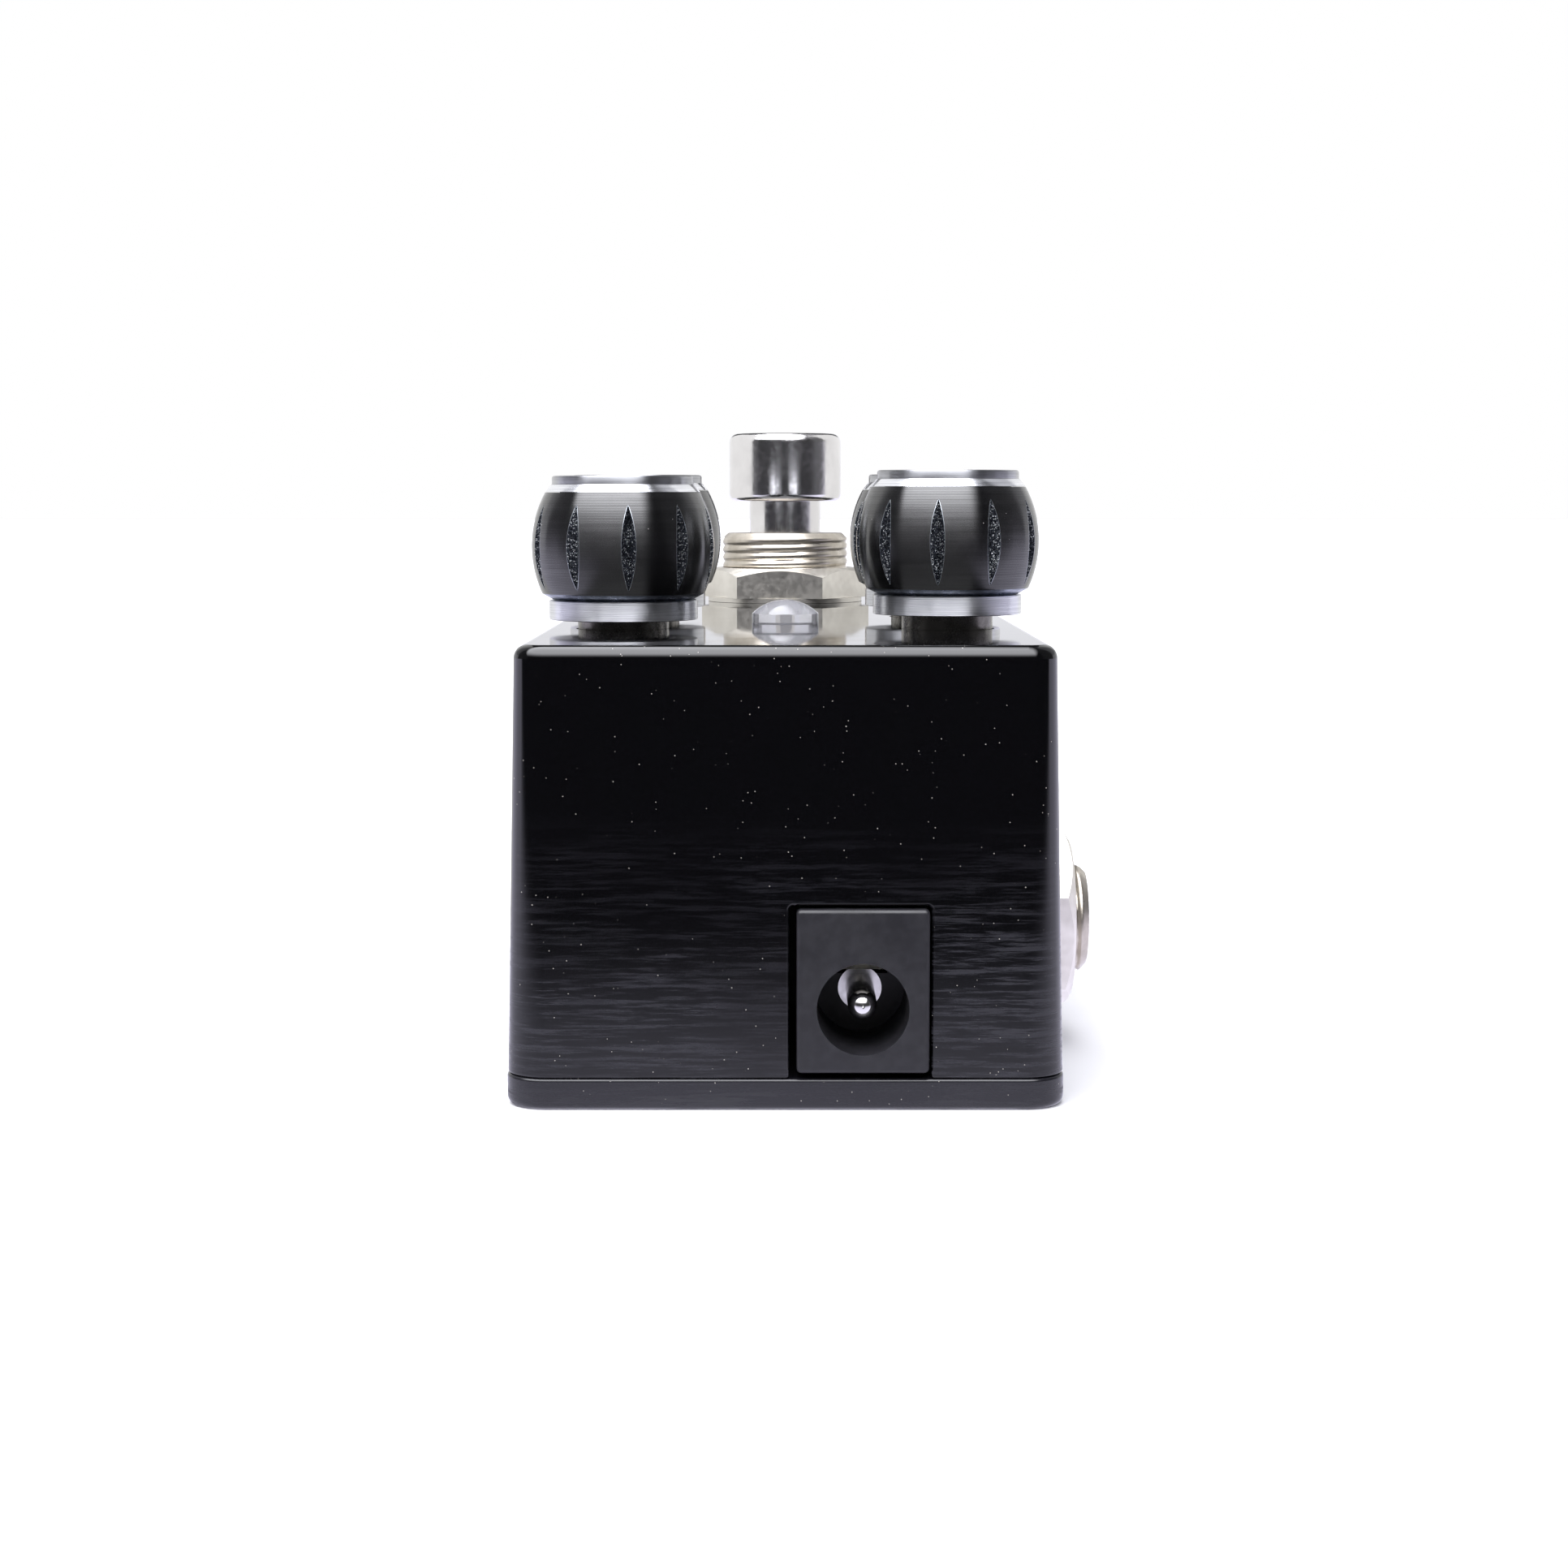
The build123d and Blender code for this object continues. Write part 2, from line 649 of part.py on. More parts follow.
with BuildPart() as footswitch_plunger:
    with BuildSketch(Plane(origin=(0, switch_y, 0), x_dir=(1, 0, 0), z_dir=(0, -1, 0))):
        with BuildLine():
            Polyline(
                (0, plunger_stem_bottom),
                (plunger_stem_radius - 0.3, plunger_stem_bottom),
                (plunger_stem_radius, plunger_stem_bottom + 0.3),
                (plunger_stem_radius, plunger_cap_bottom),
                (plunger_cap_radius - 0.6, plunger_cap_bottom),
            )
            RadiusArc(
                (plunger_cap_radius - 0.6, plunger_cap_bottom),
                (plunger_cap_radius, plunger_cap_bottom + 0.6),
                -0.6,
            )
            Line((plunger_cap_radius, plunger_cap_bottom + 0.6), (plunger_cap_radius, plunger_top - 0.8))
            RadiusArc((plunger_cap_radius, plunger_top - 0.8), (plunger_cap_radius - 0.8, plunger_top), -0.8)
            Line((plunger_cap_radius - 0.8, plunger_top), (0, plunger_top))
            Line((0, plunger_top), (0, plunger_stem_bottom))
        make_face()
    revolve(axis=Axis((0, switch_y, 0), (0, 0, 1)))
write(footswitch_plunger, "footswitch_plunger")

with BuildPart() as footswitch_bushing:
    with BuildSketch(switch_floor.offset(switch_frame_top)):
        Circle(switch_bushing_radius)
    extrude(amount=switch_bushing_top - switch_frame_top)
    chamfer(footswitch_bushing.faces().sort_by(Axis.Z)[-1].edges(), 0.55)
    with BuildSketch(switch_floor.offset(switch_frame_top)):
        Circle(plunger_stem_radius + 0.05)
    extrude(amount=switch_bushing_top - switch_frame_top, mode=Mode.SUBTRACT)
write(footswitch_bushing, "footswitch_bushing")

with BuildPart() as footswitch_washer:
    with BuildSketch(switch_floor.offset(box_height + 0.02)):
        Circle(switch_washer_radius)
        Circle(switch_bushing_radius + thread_gap, mode=Mode.SUBTRACT)
    extrude(amount=switch_washer_thickness)
write(footswitch_washer, "footswitch_washer")

footswitch_nut = hexagon_nut(
    switch_floor.offset(box_height + 0.04 + switch_washer_thickness),
    switch_nut_across_flats,
    switch_nut_thickness,
    switch_bushing_radius + thread_gap,
    -4.2,
)
write(footswitch_nut, "footswitch_nut")

inner_nut_thickness = 2.2
footswitch_inner_nut = hexagon_nut(
    switch_floor.offset(inner_top - inner_nut_thickness - 0.05),
    switch_nut_across_flats,
    inner_nut_thickness,
    switch_bushing_radius + thread_gap,
    12.0,
)
write(footswitch_inner_nut, "footswitch_inner_nut")

frame_bottom = switch_frame_top - switch_frame_thickness
with BuildPart() as footswitch_frame:
    # a steel yoke: top plate with two straps that hug the body
    with BuildSketch(switch_floor.offset(frame_bottom)):
        Rectangle(switch_body_width + 1.6, switch_body_width)
        Circle(plunger_stem_radius + 0.05, mode=Mode.SUBTRACT)
    extrude(amount=switch_frame_thickness)
    with BuildSketch(switch_floor.offset(frame_bottom - 9)):
        with GridLocations(switch_body_width + 0.9, 0, 2, 1):
            Rectangle(0.7, 7)
    extrude(amount=9)
write(footswitch_frame, "footswitch_frame")

body_top = frame_bottom - 0.02
chamber_floor = switch_body_bottom + 1.2
with BuildPart() as footswitch_body:
    with BuildSketch(switch_floor.offset(switch_body_bottom)):
        RectangleRounded(switch_body_width, switch_body_width, 0.6)
    extrude(amount=body_top - switch_body_bottom)
    with BuildSketch(switch_floor.offset(chamber_floor)):
        Rectangle(14, 14)
    extrude(amount=spring_bottom - 0.8 - chamber_floor, mode=Mode.SUBTRACT)
    with BuildSketch(switch_floor.offset(spring_bottom)):
        Circle(plunger_stem_radius + 0.1)
    extrude(amount=body_top - spring_bottom, mode=Mode.SUBTRACT)
    with BuildSketch(switch_floor.offset(switch_body_bottom)):
        with GridLocations(lug_pitch_x, lug_pitch_y, 3, 3):
            Rectangle(2.1, 1.0)
    extrude(amount=2, mode=Mode.SUBTRACT)
write(footswitch_body, "footswitch_body")

with BuildPart() as footswitch_lugs:
    with BuildSketch(switch_floor.offset(switch_board_bottom - 0.9)):
        with GridLocations(lug_pitch_x, lug_pitch_y, 3, 3):
            Rectangle(2.0, 0.8)
    extrude(amount=chamber_floor + 0.3 - switch_board_bottom + 0.9)
write(footswitch_lugs, "footswitch_lugs")

with BuildPart() as footswitch_contacts:
    # three rockers, each tipped onto one of its outer lugs
    rocker_plane = Plane(origin=(0, switch_y, chamber_floor + 1.3), x_dir=(1, 0, 0), z_dir=(0, 0.09, 1))
    with BuildSketch(rocker_plane):
        with GridLocations(lug_pitch_x, 0, 3, 1):
            Rectangle(2.2, 12)
    extrude(amount=0.4)
write(footswitch_contacts, "footswitch_contacts")

spring_height = plunger_stem_bottom - spring_bottom - 2 * spring_wire_radius - 0.1
with BuildPart() as footswitch_spring:
    with BuildLine(Plane(origin=(0, switch_y, spring_bottom + spring_wire_radius + 0.05))):
        coil = Helix(pitch=spring_height / spring_turns, height=spring_height, radius=spring_radius)
    with BuildSketch(Plane(origin=coil @ 0, z_dir=coil % 0)):
        Circle(spring_wire_radius)
    sweep(path=coil, is_frenet=True)
write(footswitch_spring, "footswitch_spring")

lead_y = control_board_front - 1.0
switch_board_rear = lead_y - 1.2
switch_board_length = switch_y + 8.2 - switch_board_rear
with BuildPart() as footswitch_board:
    with BuildSketch(switch_floor.offset(switch_board_bottom)):
        with Locations((0, switch_board_rear + switch_board_length / 2 - switch_y)):
            Rectangle(16.4, switch_board_length)
        with GridLocations(lug_pitch_x, lug_pitch_y, 3, 3):
            Rectangle(2.2, 1.0, mode=Mode.SUBTRACT)
    extrude(amount=switch_board_thickness)
write(footswitch_board, "footswitch_board")

with BuildPart() as footswitch_leads:
    with BuildSketch(Plane.XY.offset(switch_board_bottom + switch_board_thickness)):
        with Locations((0, lead_y)):
            with GridLocations(2.54, 0, 6, 1):
                Circle(0.5)
    extrude(amount=control_board_bottom - switch_board_bottom - switch_board_thickness)
write(footswitch_leads, "footswitch_leads")

# ======== Status lens and its light ========

dome_radius = (lens_radius**2 + lens_dome_height**2) / (2 * lens_dome_height)
lens_mid_x = lens_radius / 2
lens_mid_z = lens_top - dome_radius + math.sqrt(dome_radius**2 - lens_mid_x**2)
with BuildPart() as led_lens:
    with BuildSketch(Plane(origin=(0, lens_y, 0), x_dir=(1, 0, 0), z_dir=(0, -1, 0))):
        shoulder = lens_top - lens_dome_height
        with BuildLine():
            Polyline((0, 28.2), (1.7, 27.4), (1.7, 26.9), (3.3, 26.9), (3.3, inner_top - 0.1), (lens_radius, inner_top - 0.1))
            Line((lens_radius, inner_top - 0.1), (lens_radius, shoulder))
            ThreePointArc((lens_radius, shoulder), (lens_mid_x, lens_mid_z), (0, lens_top))
            Line((0, lens_top), (0, 28.2))
        make_face()
    revolve(axis=Axis((0, lens_y, 0), (0, 0, 1)))
write(led_lens, "led_lens")

with BuildPart() as status_led:
    with BuildSketch(Plane(origin=(0, lens_y, 0), x_dir=(1, 0, 0), z_dir=(0, -1, 0))):
        with BuildLine():
            Polyline((0, 23.2), (1.7, 23.2), (1.7, 24.0), (1.5, 24.0), (1.5, 25.6))
            RadiusArc((1.5, 25.6), (0, 27.1), -1.5)
            Line((0, 27.1), (0, 23.2))
        make_face()
    revolve(axis=Axis((0, lens_y, 0), (0, 0, 1)))
    with Locations((0, lens_y, control_board_bottom - 0.8)):
        with GridLocations(2.0, 0, 2, 1):
            Box(0.45, 0.45, 23.2 - control_board_bottom + 0.8, align=(Align.CENTER, Align.CENTER, Align.MIN))
write(status_led, "status_led")

# ======== Control board and what stands on it ========

header_x = dc_x - 7.2
header_y = (power_board_rear + power_board_front) / 2
chip_places = [(-6.5, 12.5), (6.5, 12.5)]
capacitor_places = [(-12.0, -13.0), (12.0, -13.0), (12.0, 4.6), (-12.0, -34.0)]
capacitor_radius = 2.5
capacitor_length = 5.4

with BuildPart() as control_board:
    board_length = control_board_front - control_board_rear
    with BuildSketch(Plane.XY.offset(control_board_bottom)):
        with Locations((0, (control_board_front + control_board_rear) / 2)):
            RectangleRounded(control_board_width, board_length, 1.0)
        for x, y in pot_places:
            with Locations((x, y + pot_pin_y)):
                with GridLocations(pot_pin_pitch, 0, 3, 1):
                    Circle(0.5, mode=Mode.SUBTRACT)
        with Locations((0, lens_y)):
            with GridLocations(2.0, 0, 2, 1):
                Circle(0.4, mode=Mode.SUBTRACT)
        with Locations((header_x, header_y)):
            with GridLocations(0, 2.54, 1, 4):
                Circle(0.5, mode=Mode.SUBTRACT)
    extrude(amount=board_thickness)
write(control_board, "control_board")

with BuildPart() as amplifier_chips:
    for x, y in chip_places:
        with Locations((x, y, control_board_bottom - 0.5)):
            Box(9.6, 6.4, 3.3, align=(Align.CENTER, Align.CENTER, Align.MAX))
        for edge in (-1, 1):
            with Locations((x, y + edge * 3.7, control_board_bottom)):
                with GridLocations(2.54, 0, 4, 1):
                    Box(0.5, 0.3, 2.4, align=(Align.CENTER, Align.CENTER, Align.MAX))
            with Locations((x, y + edge * 3.4, control_board_bottom - 2.2)):
                with GridLocations(2.54, 0, 4, 1):
                    Box(0.5, 0.8, 0.3)
write(amplifier_chips, "amplifier_chips")

with BuildPart() as capacitors:
    with BuildSketch(Plane.XY.offset(control_board_bottom)):
        with Locations(*capacitor_places):
            Circle(capacitor_radius)
    extrude(amount=-capacitor_length)
    fillet(capacitors.faces().group_by(Axis.Z)[0].edges(), 0.4)
write(capacitors, "capacitors")

with BuildPart() as board_header:
    with Locations((header_x, header_y, power_board_bottom + board_thickness)):
        Box(2.5, 10.2, 2.5, align=(Align.CENTER, Align.CENTER, Align.MIN))
    with Locations((header_x, header_y, power_board_bottom - 0.8)):
        with GridLocations(0, 2.54, 1, 4):
            Box(0.64, 0.64, control_board_top - power_board_bottom + 1.6, align=(Align.CENTER, Align.CENTER, Align.MIN))
write(board_header, "board_header")

lug_tops = jack_z + 8.6
with BuildPart() as jack_leads:
    for side, y in ((1, output_jack_y), (-1, input_jack_y)):
        for distance in (jack_body_back + 3, jack_bushing_back - 3):
            with BuildSketch(Plane(origin=(side * distance, y, lug_tops))):
                Circle(0.5)
            extrude(amount=control_board_bottom - lug_tops)
write(jack_leads, "jack_leads")
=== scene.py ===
import math

import bmesh
import bpy
from mathutils import Matrix, Vector


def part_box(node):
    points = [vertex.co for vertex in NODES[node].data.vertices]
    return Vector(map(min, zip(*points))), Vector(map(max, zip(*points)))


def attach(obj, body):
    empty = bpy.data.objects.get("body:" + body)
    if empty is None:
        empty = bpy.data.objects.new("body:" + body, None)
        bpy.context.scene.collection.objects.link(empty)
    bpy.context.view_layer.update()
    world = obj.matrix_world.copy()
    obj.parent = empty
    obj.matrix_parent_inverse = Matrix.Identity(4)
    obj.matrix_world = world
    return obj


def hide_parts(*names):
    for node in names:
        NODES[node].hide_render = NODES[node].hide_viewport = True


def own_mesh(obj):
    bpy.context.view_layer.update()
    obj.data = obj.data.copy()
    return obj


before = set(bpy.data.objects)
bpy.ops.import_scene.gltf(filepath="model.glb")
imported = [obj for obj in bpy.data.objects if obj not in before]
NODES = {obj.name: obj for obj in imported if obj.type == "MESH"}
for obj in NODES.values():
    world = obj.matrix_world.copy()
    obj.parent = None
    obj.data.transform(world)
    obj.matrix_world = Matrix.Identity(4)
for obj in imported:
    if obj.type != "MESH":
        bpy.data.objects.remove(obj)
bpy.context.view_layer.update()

MM = 0.001
LATHE_COLUMNS = 160


# ---------------------------------------------------------------- small helpers
def box_mm(node):
    """The CAD node's corners, in millimetres."""
    low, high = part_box(node)
    return low / MM, high / MM


def foot_mm(node):
    """The middle of the CAD node's underside, in millimetres."""
    low, high = box_mm(node)
    return (low.x + high.x) / 2, (low.y + high.y) / 2, low.z


def smooth(mesh, angle):
    mesh.shade_smooth()
    mesh.set_sharp_from_angle(angle=math.radians(angle))


def piece(name, verts, faces, materials, origin, body, replaced, angle, face_materials=None):
    """A new mesh object from millimetre points, placed at origin (mm), riding on a body."""
    mesh = bpy.data.meshes.new(name)
    mesh.from_pydata([tuple(c * MM for c in v) for v in verts], [], faces)
    for material in materials:
        mesh.materials.append(material)
    if face_materials:
        for polygon, index in zip(mesh.polygons, face_materials):
            polygon.material_index = index
    cleaner = bmesh.new()
    cleaner.from_mesh(mesh)
    bmesh.ops.remove_doubles(cleaner, verts=cleaner.verts, dist=2e-7)
    bmesh.ops.dissolve_degenerate(cleaner, dist=1e-7, edges=cleaner.edges)
    bmesh.ops.recalc_face_normals(cleaner, faces=cleaner.faces)
    cleaner.to_mesh(mesh)
    cleaner.free()
    smooth(mesh, angle)
    obj = bpy.data.objects.new(name, mesh)
    bpy.context.scene.collection.objects.link(obj)
    obj.location = Vector(origin) * MM
    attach(obj, body)
    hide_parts(*replaced)
    return obj


def ring_faces(first, second, columns):
    """Quads between two rings of points, from the index of each ring's first point."""
    for k in range(columns):
        j = (k + 1) % columns
        yield first + k, first + j, second + j, second + k


def lathe(name, profile, materials, origin, body, replaced, angle, bands=None):
    """Turns (radius, height) points round +Z. bands gives each profile run's material index."""
    verts, faces, face_materials = [], [], []
    for radius, height in profile:
        for k in range(LATHE_COLUMNS):
            a = 2 * math.pi * k / LATHE_COLUMNS
            verts.append((radius * math.cos(a), radius * math.sin(a), height))
    for i in range(len(profile) - 1):
        faces += ring_faces(i * LATHE_COLUMNS, (i + 1) * LATHE_COLUMNS, LATHE_COLUMNS)
        face_materials += [bands[i] if bands else 0] * LATHE_COLUMNS
    return piece(name, verts, faces, materials, origin, body, replaced, angle, face_materials)


def turned(x, y, z, axis):
    """Maps a point made about +Z onto another axis."""
    if axis == "X":
        return (z, x, y)
    if axis == "-X":
        return (-z, -x, y)
    return (x, y, z)


# ---------------------------------------------------------------- materials
class Graph:
    """Adds and links nodes in one node tree."""

    def __init__(self, owner):
        owner.use_nodes = True
        self.tree = owner.node_tree
        self.tree.nodes.clear()

    def add(self, kind, **settings):
        node = self.tree.nodes.new(kind)
        for key, value in settings.items():
            setattr(node, key, value)
        return node

    def link(self, a, b):
        self.tree.links.new(a, b)

    def remap(self, value, a, b, low=0.0, high=1.0, smoothed=True):
        node = self.add("ShaderNodeMapRange", interpolation_type="SMOOTHSTEP" if smoothed else "LINEAR")
        node.inputs["From Min"].default_value = a
        node.inputs["From Max"].default_value = b
        node.inputs["To Min"].default_value = low
        node.inputs["To Max"].default_value = high
        self.link(value, node.inputs["Value"])
        return node.outputs["Result"]

    def maths(self, operation, a, b=None):
        node = self.add("ShaderNodeMath", operation=operation)
        for socket, value in zip(node.inputs, (a, b)):
            if value is None:
                continue
            if isinstance(value, (int, float)):
                socket.default_value = value
            else:
                self.link(value, socket)
        return node.outputs[0]

    def parts(self, vector):
        """The X, Y and Z of a vector."""
        node = self.add("ShaderNodeSeparateXYZ")
        self.link(vector, node.inputs[0])
        return node.outputs


class Shader(Graph):
    """Builds one node material around a Principled shader."""

    def __init__(self, name, base, metallic, rough, **constants):
        self.material = bpy.data.materials.new(name)
        super().__init__(self.material)
        out = self.add("ShaderNodeOutputMaterial")
        self.shader = self.add("ShaderNodeBsdfPrincipled")
        self.link(self.shader.outputs[0], out.inputs["Surface"])
        self.set("Base Color", (*base, 1.0))
        self.set("Metallic", metallic)
        self.set("Roughness", rough)
        for key, value in constants.items():
            self.set(key.replace("_", " "), value)
        self.material.diffuse_color = (*base, 1.0)
        self.coords = self.add("ShaderNodeTexCoord").outputs["Object"]
        self.normal = None

    def set(self, socket, value):
        self.shader.inputs[socket].default_value = value

    def scaled(self, scale=(1, 1, 1)):
        mapping = self.add("ShaderNodeMapping")
        mapping.inputs["Scale"].default_value = scale
        self.link(self.coords, mapping.inputs["Vector"])
        return mapping.outputs[0]

    def noise(self, scale, detail, stretch=(1, 1, 1), rough=0.5):
        node = self.add("ShaderNodeTexNoise")
        node.inputs["Scale"].default_value = scale
        node.inputs["Detail"].default_value = detail
        node.inputs["Roughness"].default_value = rough
        self.link(self.scaled(stretch), node.inputs["Vector"])
        return node.outputs["Fac"]

    def cells(self, scale, output="Distance"):
        node = self.add("ShaderNodeTexVoronoi")
        node.inputs["Scale"].default_value = scale
        self.link(self.scaled(), node.inputs["Vector"])
        return node.outputs[output]

    def wave(self, spacing_mm, distortion):
        """Level bands, one each spacing."""
        node = self.add("ShaderNodeTexWave", bands_direction="Z")
        # the texture has one band each 2*pi/20 units of the scaled coordinate
        node.inputs["Scale"].default_value = 1000 / spacing_mm * math.pi / 10
        node.inputs["Distortion"].default_value = distortion
        self.link(self.coords, node.inputs["Vector"])
        return node.outputs["Fac"]

    def mix(self, fac, a, b):
        node = self.add("ShaderNodeMix", data_type="RGBA")
        for name, value in (("Factor", fac), ("A", a), ("B", b)):
            socket = [s for s in node.inputs if s.name == name and s.enabled][0]
            if isinstance(value, tuple):
                socket.default_value = (*value, 1.0)
            elif isinstance(value, (int, float)):
                socket.default_value = value
            else:
                self.link(value, socket)
        return [s for s in node.outputs if s.enabled][0]

    def colour(self, value):
        self.link(value, self.shader.inputs["Base Color"])

    def rough(self, value):
        self.link(value, self.shader.inputs["Roughness"])

    def bump(self, value, depth_mm, strength):
        node = self.add("ShaderNodeBump")
        node.inputs["Strength"].default_value = strength
        node.inputs["Distance"].default_value = depth_mm * MM
        self.link(value, node.inputs["Height"])
        if self.normal is not None:
            self.link(self.normal, node.inputs["Normal"])
        self.normal = node.outputs["Normal"]
        self.link(self.normal, self.shader.inputs["Normal"])

    def turned_grain(self, anisotropy):
        tangent = self.add("ShaderNodeTangent", direction_type="RADIAL", axis="Z")
        self.link(tangent.outputs[0], self.shader.inputs["Tangent"])
        self.set("Anisotropic", anisotropy)


# the low streaks' colour: rub marks, and painted reflection that lightens the lower face
RUB_AND_REFLECTION = (0.017, 0.0168, 0.021)
DUST = (0.34, 0.32, 0.29)
# cells per metre, size of a grain in cells, and the noise above which there is dust
DUST_SIZES = ((900.0, 0.031, 0.52), (1900.0, 0.056, 0.48))
LINE_SPACING = 0.118  # mm between the knobs' turned lines
QUARTER_TURN = 0.25  # of the direction in which a turned surface spreads its highlight


def gloss_paint(name, streaked_above, streaked_below, base, haze=0.0):
    """Mirror-like black paint with dust, and faint level rub marks low down (heights in metres). The marks
    are also painted reflection, lightening the face towards the bottom.
    """
    s = Shader(name, (0.0025, 0.0025, 0.003), 0.0, 0.06, IOR=1.5)
    z = s.parts(s.coords)[2]
    streak = s.noise(620.0, 6.0, (0.30, 0.30, 5.5), 0.72)
    patch = s.noise(120.0, 2.0, (1.0, 1.0, 1.4))
    low = s.remap(z, streaked_above, streaked_below)
    # the streaks are rub marks and also painted reflection: lighter towards the bottom
    scuff_and_reflection = s.maths("MULTIPLY", s.remap(streak, 0.46, 0.60), low)
    scuff_and_reflection = s.maths("MULTIPLY", scuff_and_reflection, s.remap(patch, 0.30, 0.62, 0.35, 1.0))
    tint = s.mix(scuff_and_reflection, base, RUB_AND_REFLECTION)
    for scale, size, share in DUST_SIZES:
        speck = s.remap(s.cells(scale), size * 1.3, size)
        speck = s.maths("MULTIPLY", speck, s.remap(s.noise(scale / 3, 0.0), share, share + 0.06))
        tint = s.mix(speck, tint, DUST)
    s.colour(tint)
    polish = s.remap(s.noise(160.0, 3.0), 0.3, 0.7, 0.025 + haze, 0.06 + haze)
    s.rough(s.maths("ADD", polish, s.maths("MULTIPLY", scuff_and_reflection, 0.30)))
    s.bump(s.noise(420.0, 1.0), 0.004, 0.2)
    return s.material


def moulded(name, base, light, rough, grain=1400.0, depth=0.012):
    """Fine-grained moulding or paint."""
    s = Shader(name, base, 0.0, rough, IOR=1.5)
    fine = s.noise(grain, 5.0)
    s.colour(s.mix(s.remap(fine, 0.3, 0.75), base, light))
    s.rough(s.remap(s.noise(grain / 4, 2.0), 0.3, 0.7, rough - 0.06, rough + 0.06))
    s.bump(fine, depth, 0.5)
    return s.material


def metal(name, base, dark, rough, scale, depth=0.002):
    """Plain metal whose colour and polish vary a little."""
    s = Shader(name, base, 1.0, rough)
    cloud = s.noise(scale, 3.0)
    fine = s.noise(scale * 8, 4.0)
    s.colour(s.mix(s.remap(cloud, 0.3, 0.7), base, dark))
    polish = s.remap(cloud, 0.3, 0.7, -0.03, 0.05)
    s.rough(s.maths("ADD", polish, s.remap(fine, 0.3, 0.7, rough - 0.03, rough + 0.04)))
    s.bump(fine, depth, 0.4)
    return s.material


def anodised():
    """Black anodised metal with fine turned lines that show in its shine, and a few specks."""
    s = Shader("turned_black_anodised", (0.003, 0.003, 0.0035), 0.0, 0.22, IOR=1.8,
               Anisotropic_Rotation=QUARTER_TURN)
    fine = s.wave(LINE_SPACING, 0.6)
    uneven = s.noise(4200.0, 2.0, (0.03, 0.03, 1.0))
    lines = s.maths("ADD", s.maths("MULTIPLY", fine, 0.6), s.maths("MULTIPLY", uneven, 0.8))
    tint = s.mix(s.remap(lines, 0.3, 1.1), (0.0008, 0.0008, 0.0010), (0.0030, 0.0030, 0.0034))
    speck = s.remap(s.cells(1500.0), 0.055, 0.042)
    speck = s.maths("MULTIPLY", speck, s.remap(s.noise(500.0, 0.0), 0.52, 0.58))
    s.colour(s.mix(speck, tint, (0.30, 0.29, 0.28)))
    s.link(s.remap(lines, 0.3, 1.1, 0.34, 0.66), s.shader.inputs["Specular IOR Level"])
    s.rough(s.remap(s.noise(900.0, 3.0), 0.3, 0.7, 0.205, 0.225))
    s.bump(lines, 0.003, 0.5)
    s.turned_grain(1.0)
    return s.material


def cut_metal():
    """The flutes' bare metal: tiny cut facets, a few of which sparkle. The rest are darkened as painted
    shade, for the grooves' dark reflection.
    """
    s = Shader("bare_cut_metal", (0.10, 0.11, 0.13), 1.0, 0.3)
    chips = s.cells(14000.0, "Color")
    split = s.add("ShaderNodeSeparateColor")
    s.link(chips, split.inputs[0])
    patch = s.noise(1300.0, 2.0)
    spark = s.remap(s.maths("ADD", split.outputs[0], s.maths("MULTIPLY", patch, 0.5)), 1.08, 1.14)
    # painted shade: most chips are darkened in place of the grooves' dark reflection
    darkened_chips = s.mix(split.outputs[1], (0.022, 0.025, 0.031), (0.085, 0.095, 0.115))
    s.colour(s.mix(spark, darkened_chips, (0.90, 0.93, 0.95)))
    s.rough(s.remap(split.outputs[1], 0.0, 1.0, 0.22, 0.40, False))
    s.bump(s.maths("ADD", split.outputs[2], patch), 0.03, 0.7)
    return s.material


def bright_turned(name, rough, grain, shade=1.0):
    """Bright metal with fine turned lines. shade darkens its colour, as painted shade."""
    light, dark = ((shade * r, shade * g, shade * b) for r, g, b in ((0.90, 0.91, 0.95), (0.74, 0.75, 0.79)))
    s = Shader(name, light, 1.0, rough)
    lines = s.noise(9000.0, 2.0, (0.02, 0.02, 1.0))
    s.colour(s.mix(s.remap(lines, 0.35, 0.65), dark, light))
    s.rough(s.remap(s.noise(700.0, 3.0), 0.3, 0.7, rough - 0.05, rough + 0.07))
    s.bump(lines, 0.003, 0.3)
    s.set("Anisotropic Rotation", QUARTER_TURN)
    s.turned_grain(grain)
    return s.material


def clear_plastic(name, tint, rough, clarity=1.0):
    """Clear plastic. clarity is the share of light that passes."""
    s = Shader(name, tint, 0.0, rough, IOR=1.49, Transmission_Weight=clarity)
    s.colour(s.mix(s.remap(s.noise(700.0, 2.0), 0.3, 0.7), tint, tuple(min(1.0, c + 0.03) for c in tint)))
    s.rough(s.remap(s.noise(1500.0, 3.0), 0.3, 0.75, rough * 0.6, rough * 1.8))
    s.bump(s.noise(900.0, 1.0), 0.001, 0.15)
    return s.material


def board_mask():
    """Green solder mask over a grid of tracks."""
    s = Shader("solder_mask", (0.006, 0.055, 0.022), 0.0, 0.3, IOR=1.5, Coat_Weight=0.5, Coat_Roughness=0.1)
    tracks = s.add("ShaderNodeTexBrick")
    tracks.inputs["Scale"].default_value = 260.0
    tracks.inputs["Mortar Size"].default_value = 0.05
    s.link(s.coords, tracks.inputs["Vector"])
    s.colour(s.mix(tracks.outputs["Fac"], (0.006, 0.060, 0.024), (0.016, 0.11, 0.045)))
    s.rough(s.remap(s.noise(500.0, 3.0), 0.3, 0.7, 0.22, 0.4))
    s.bump(tracks.outputs["Fac"], 0.03, 0.5)
    return s.material


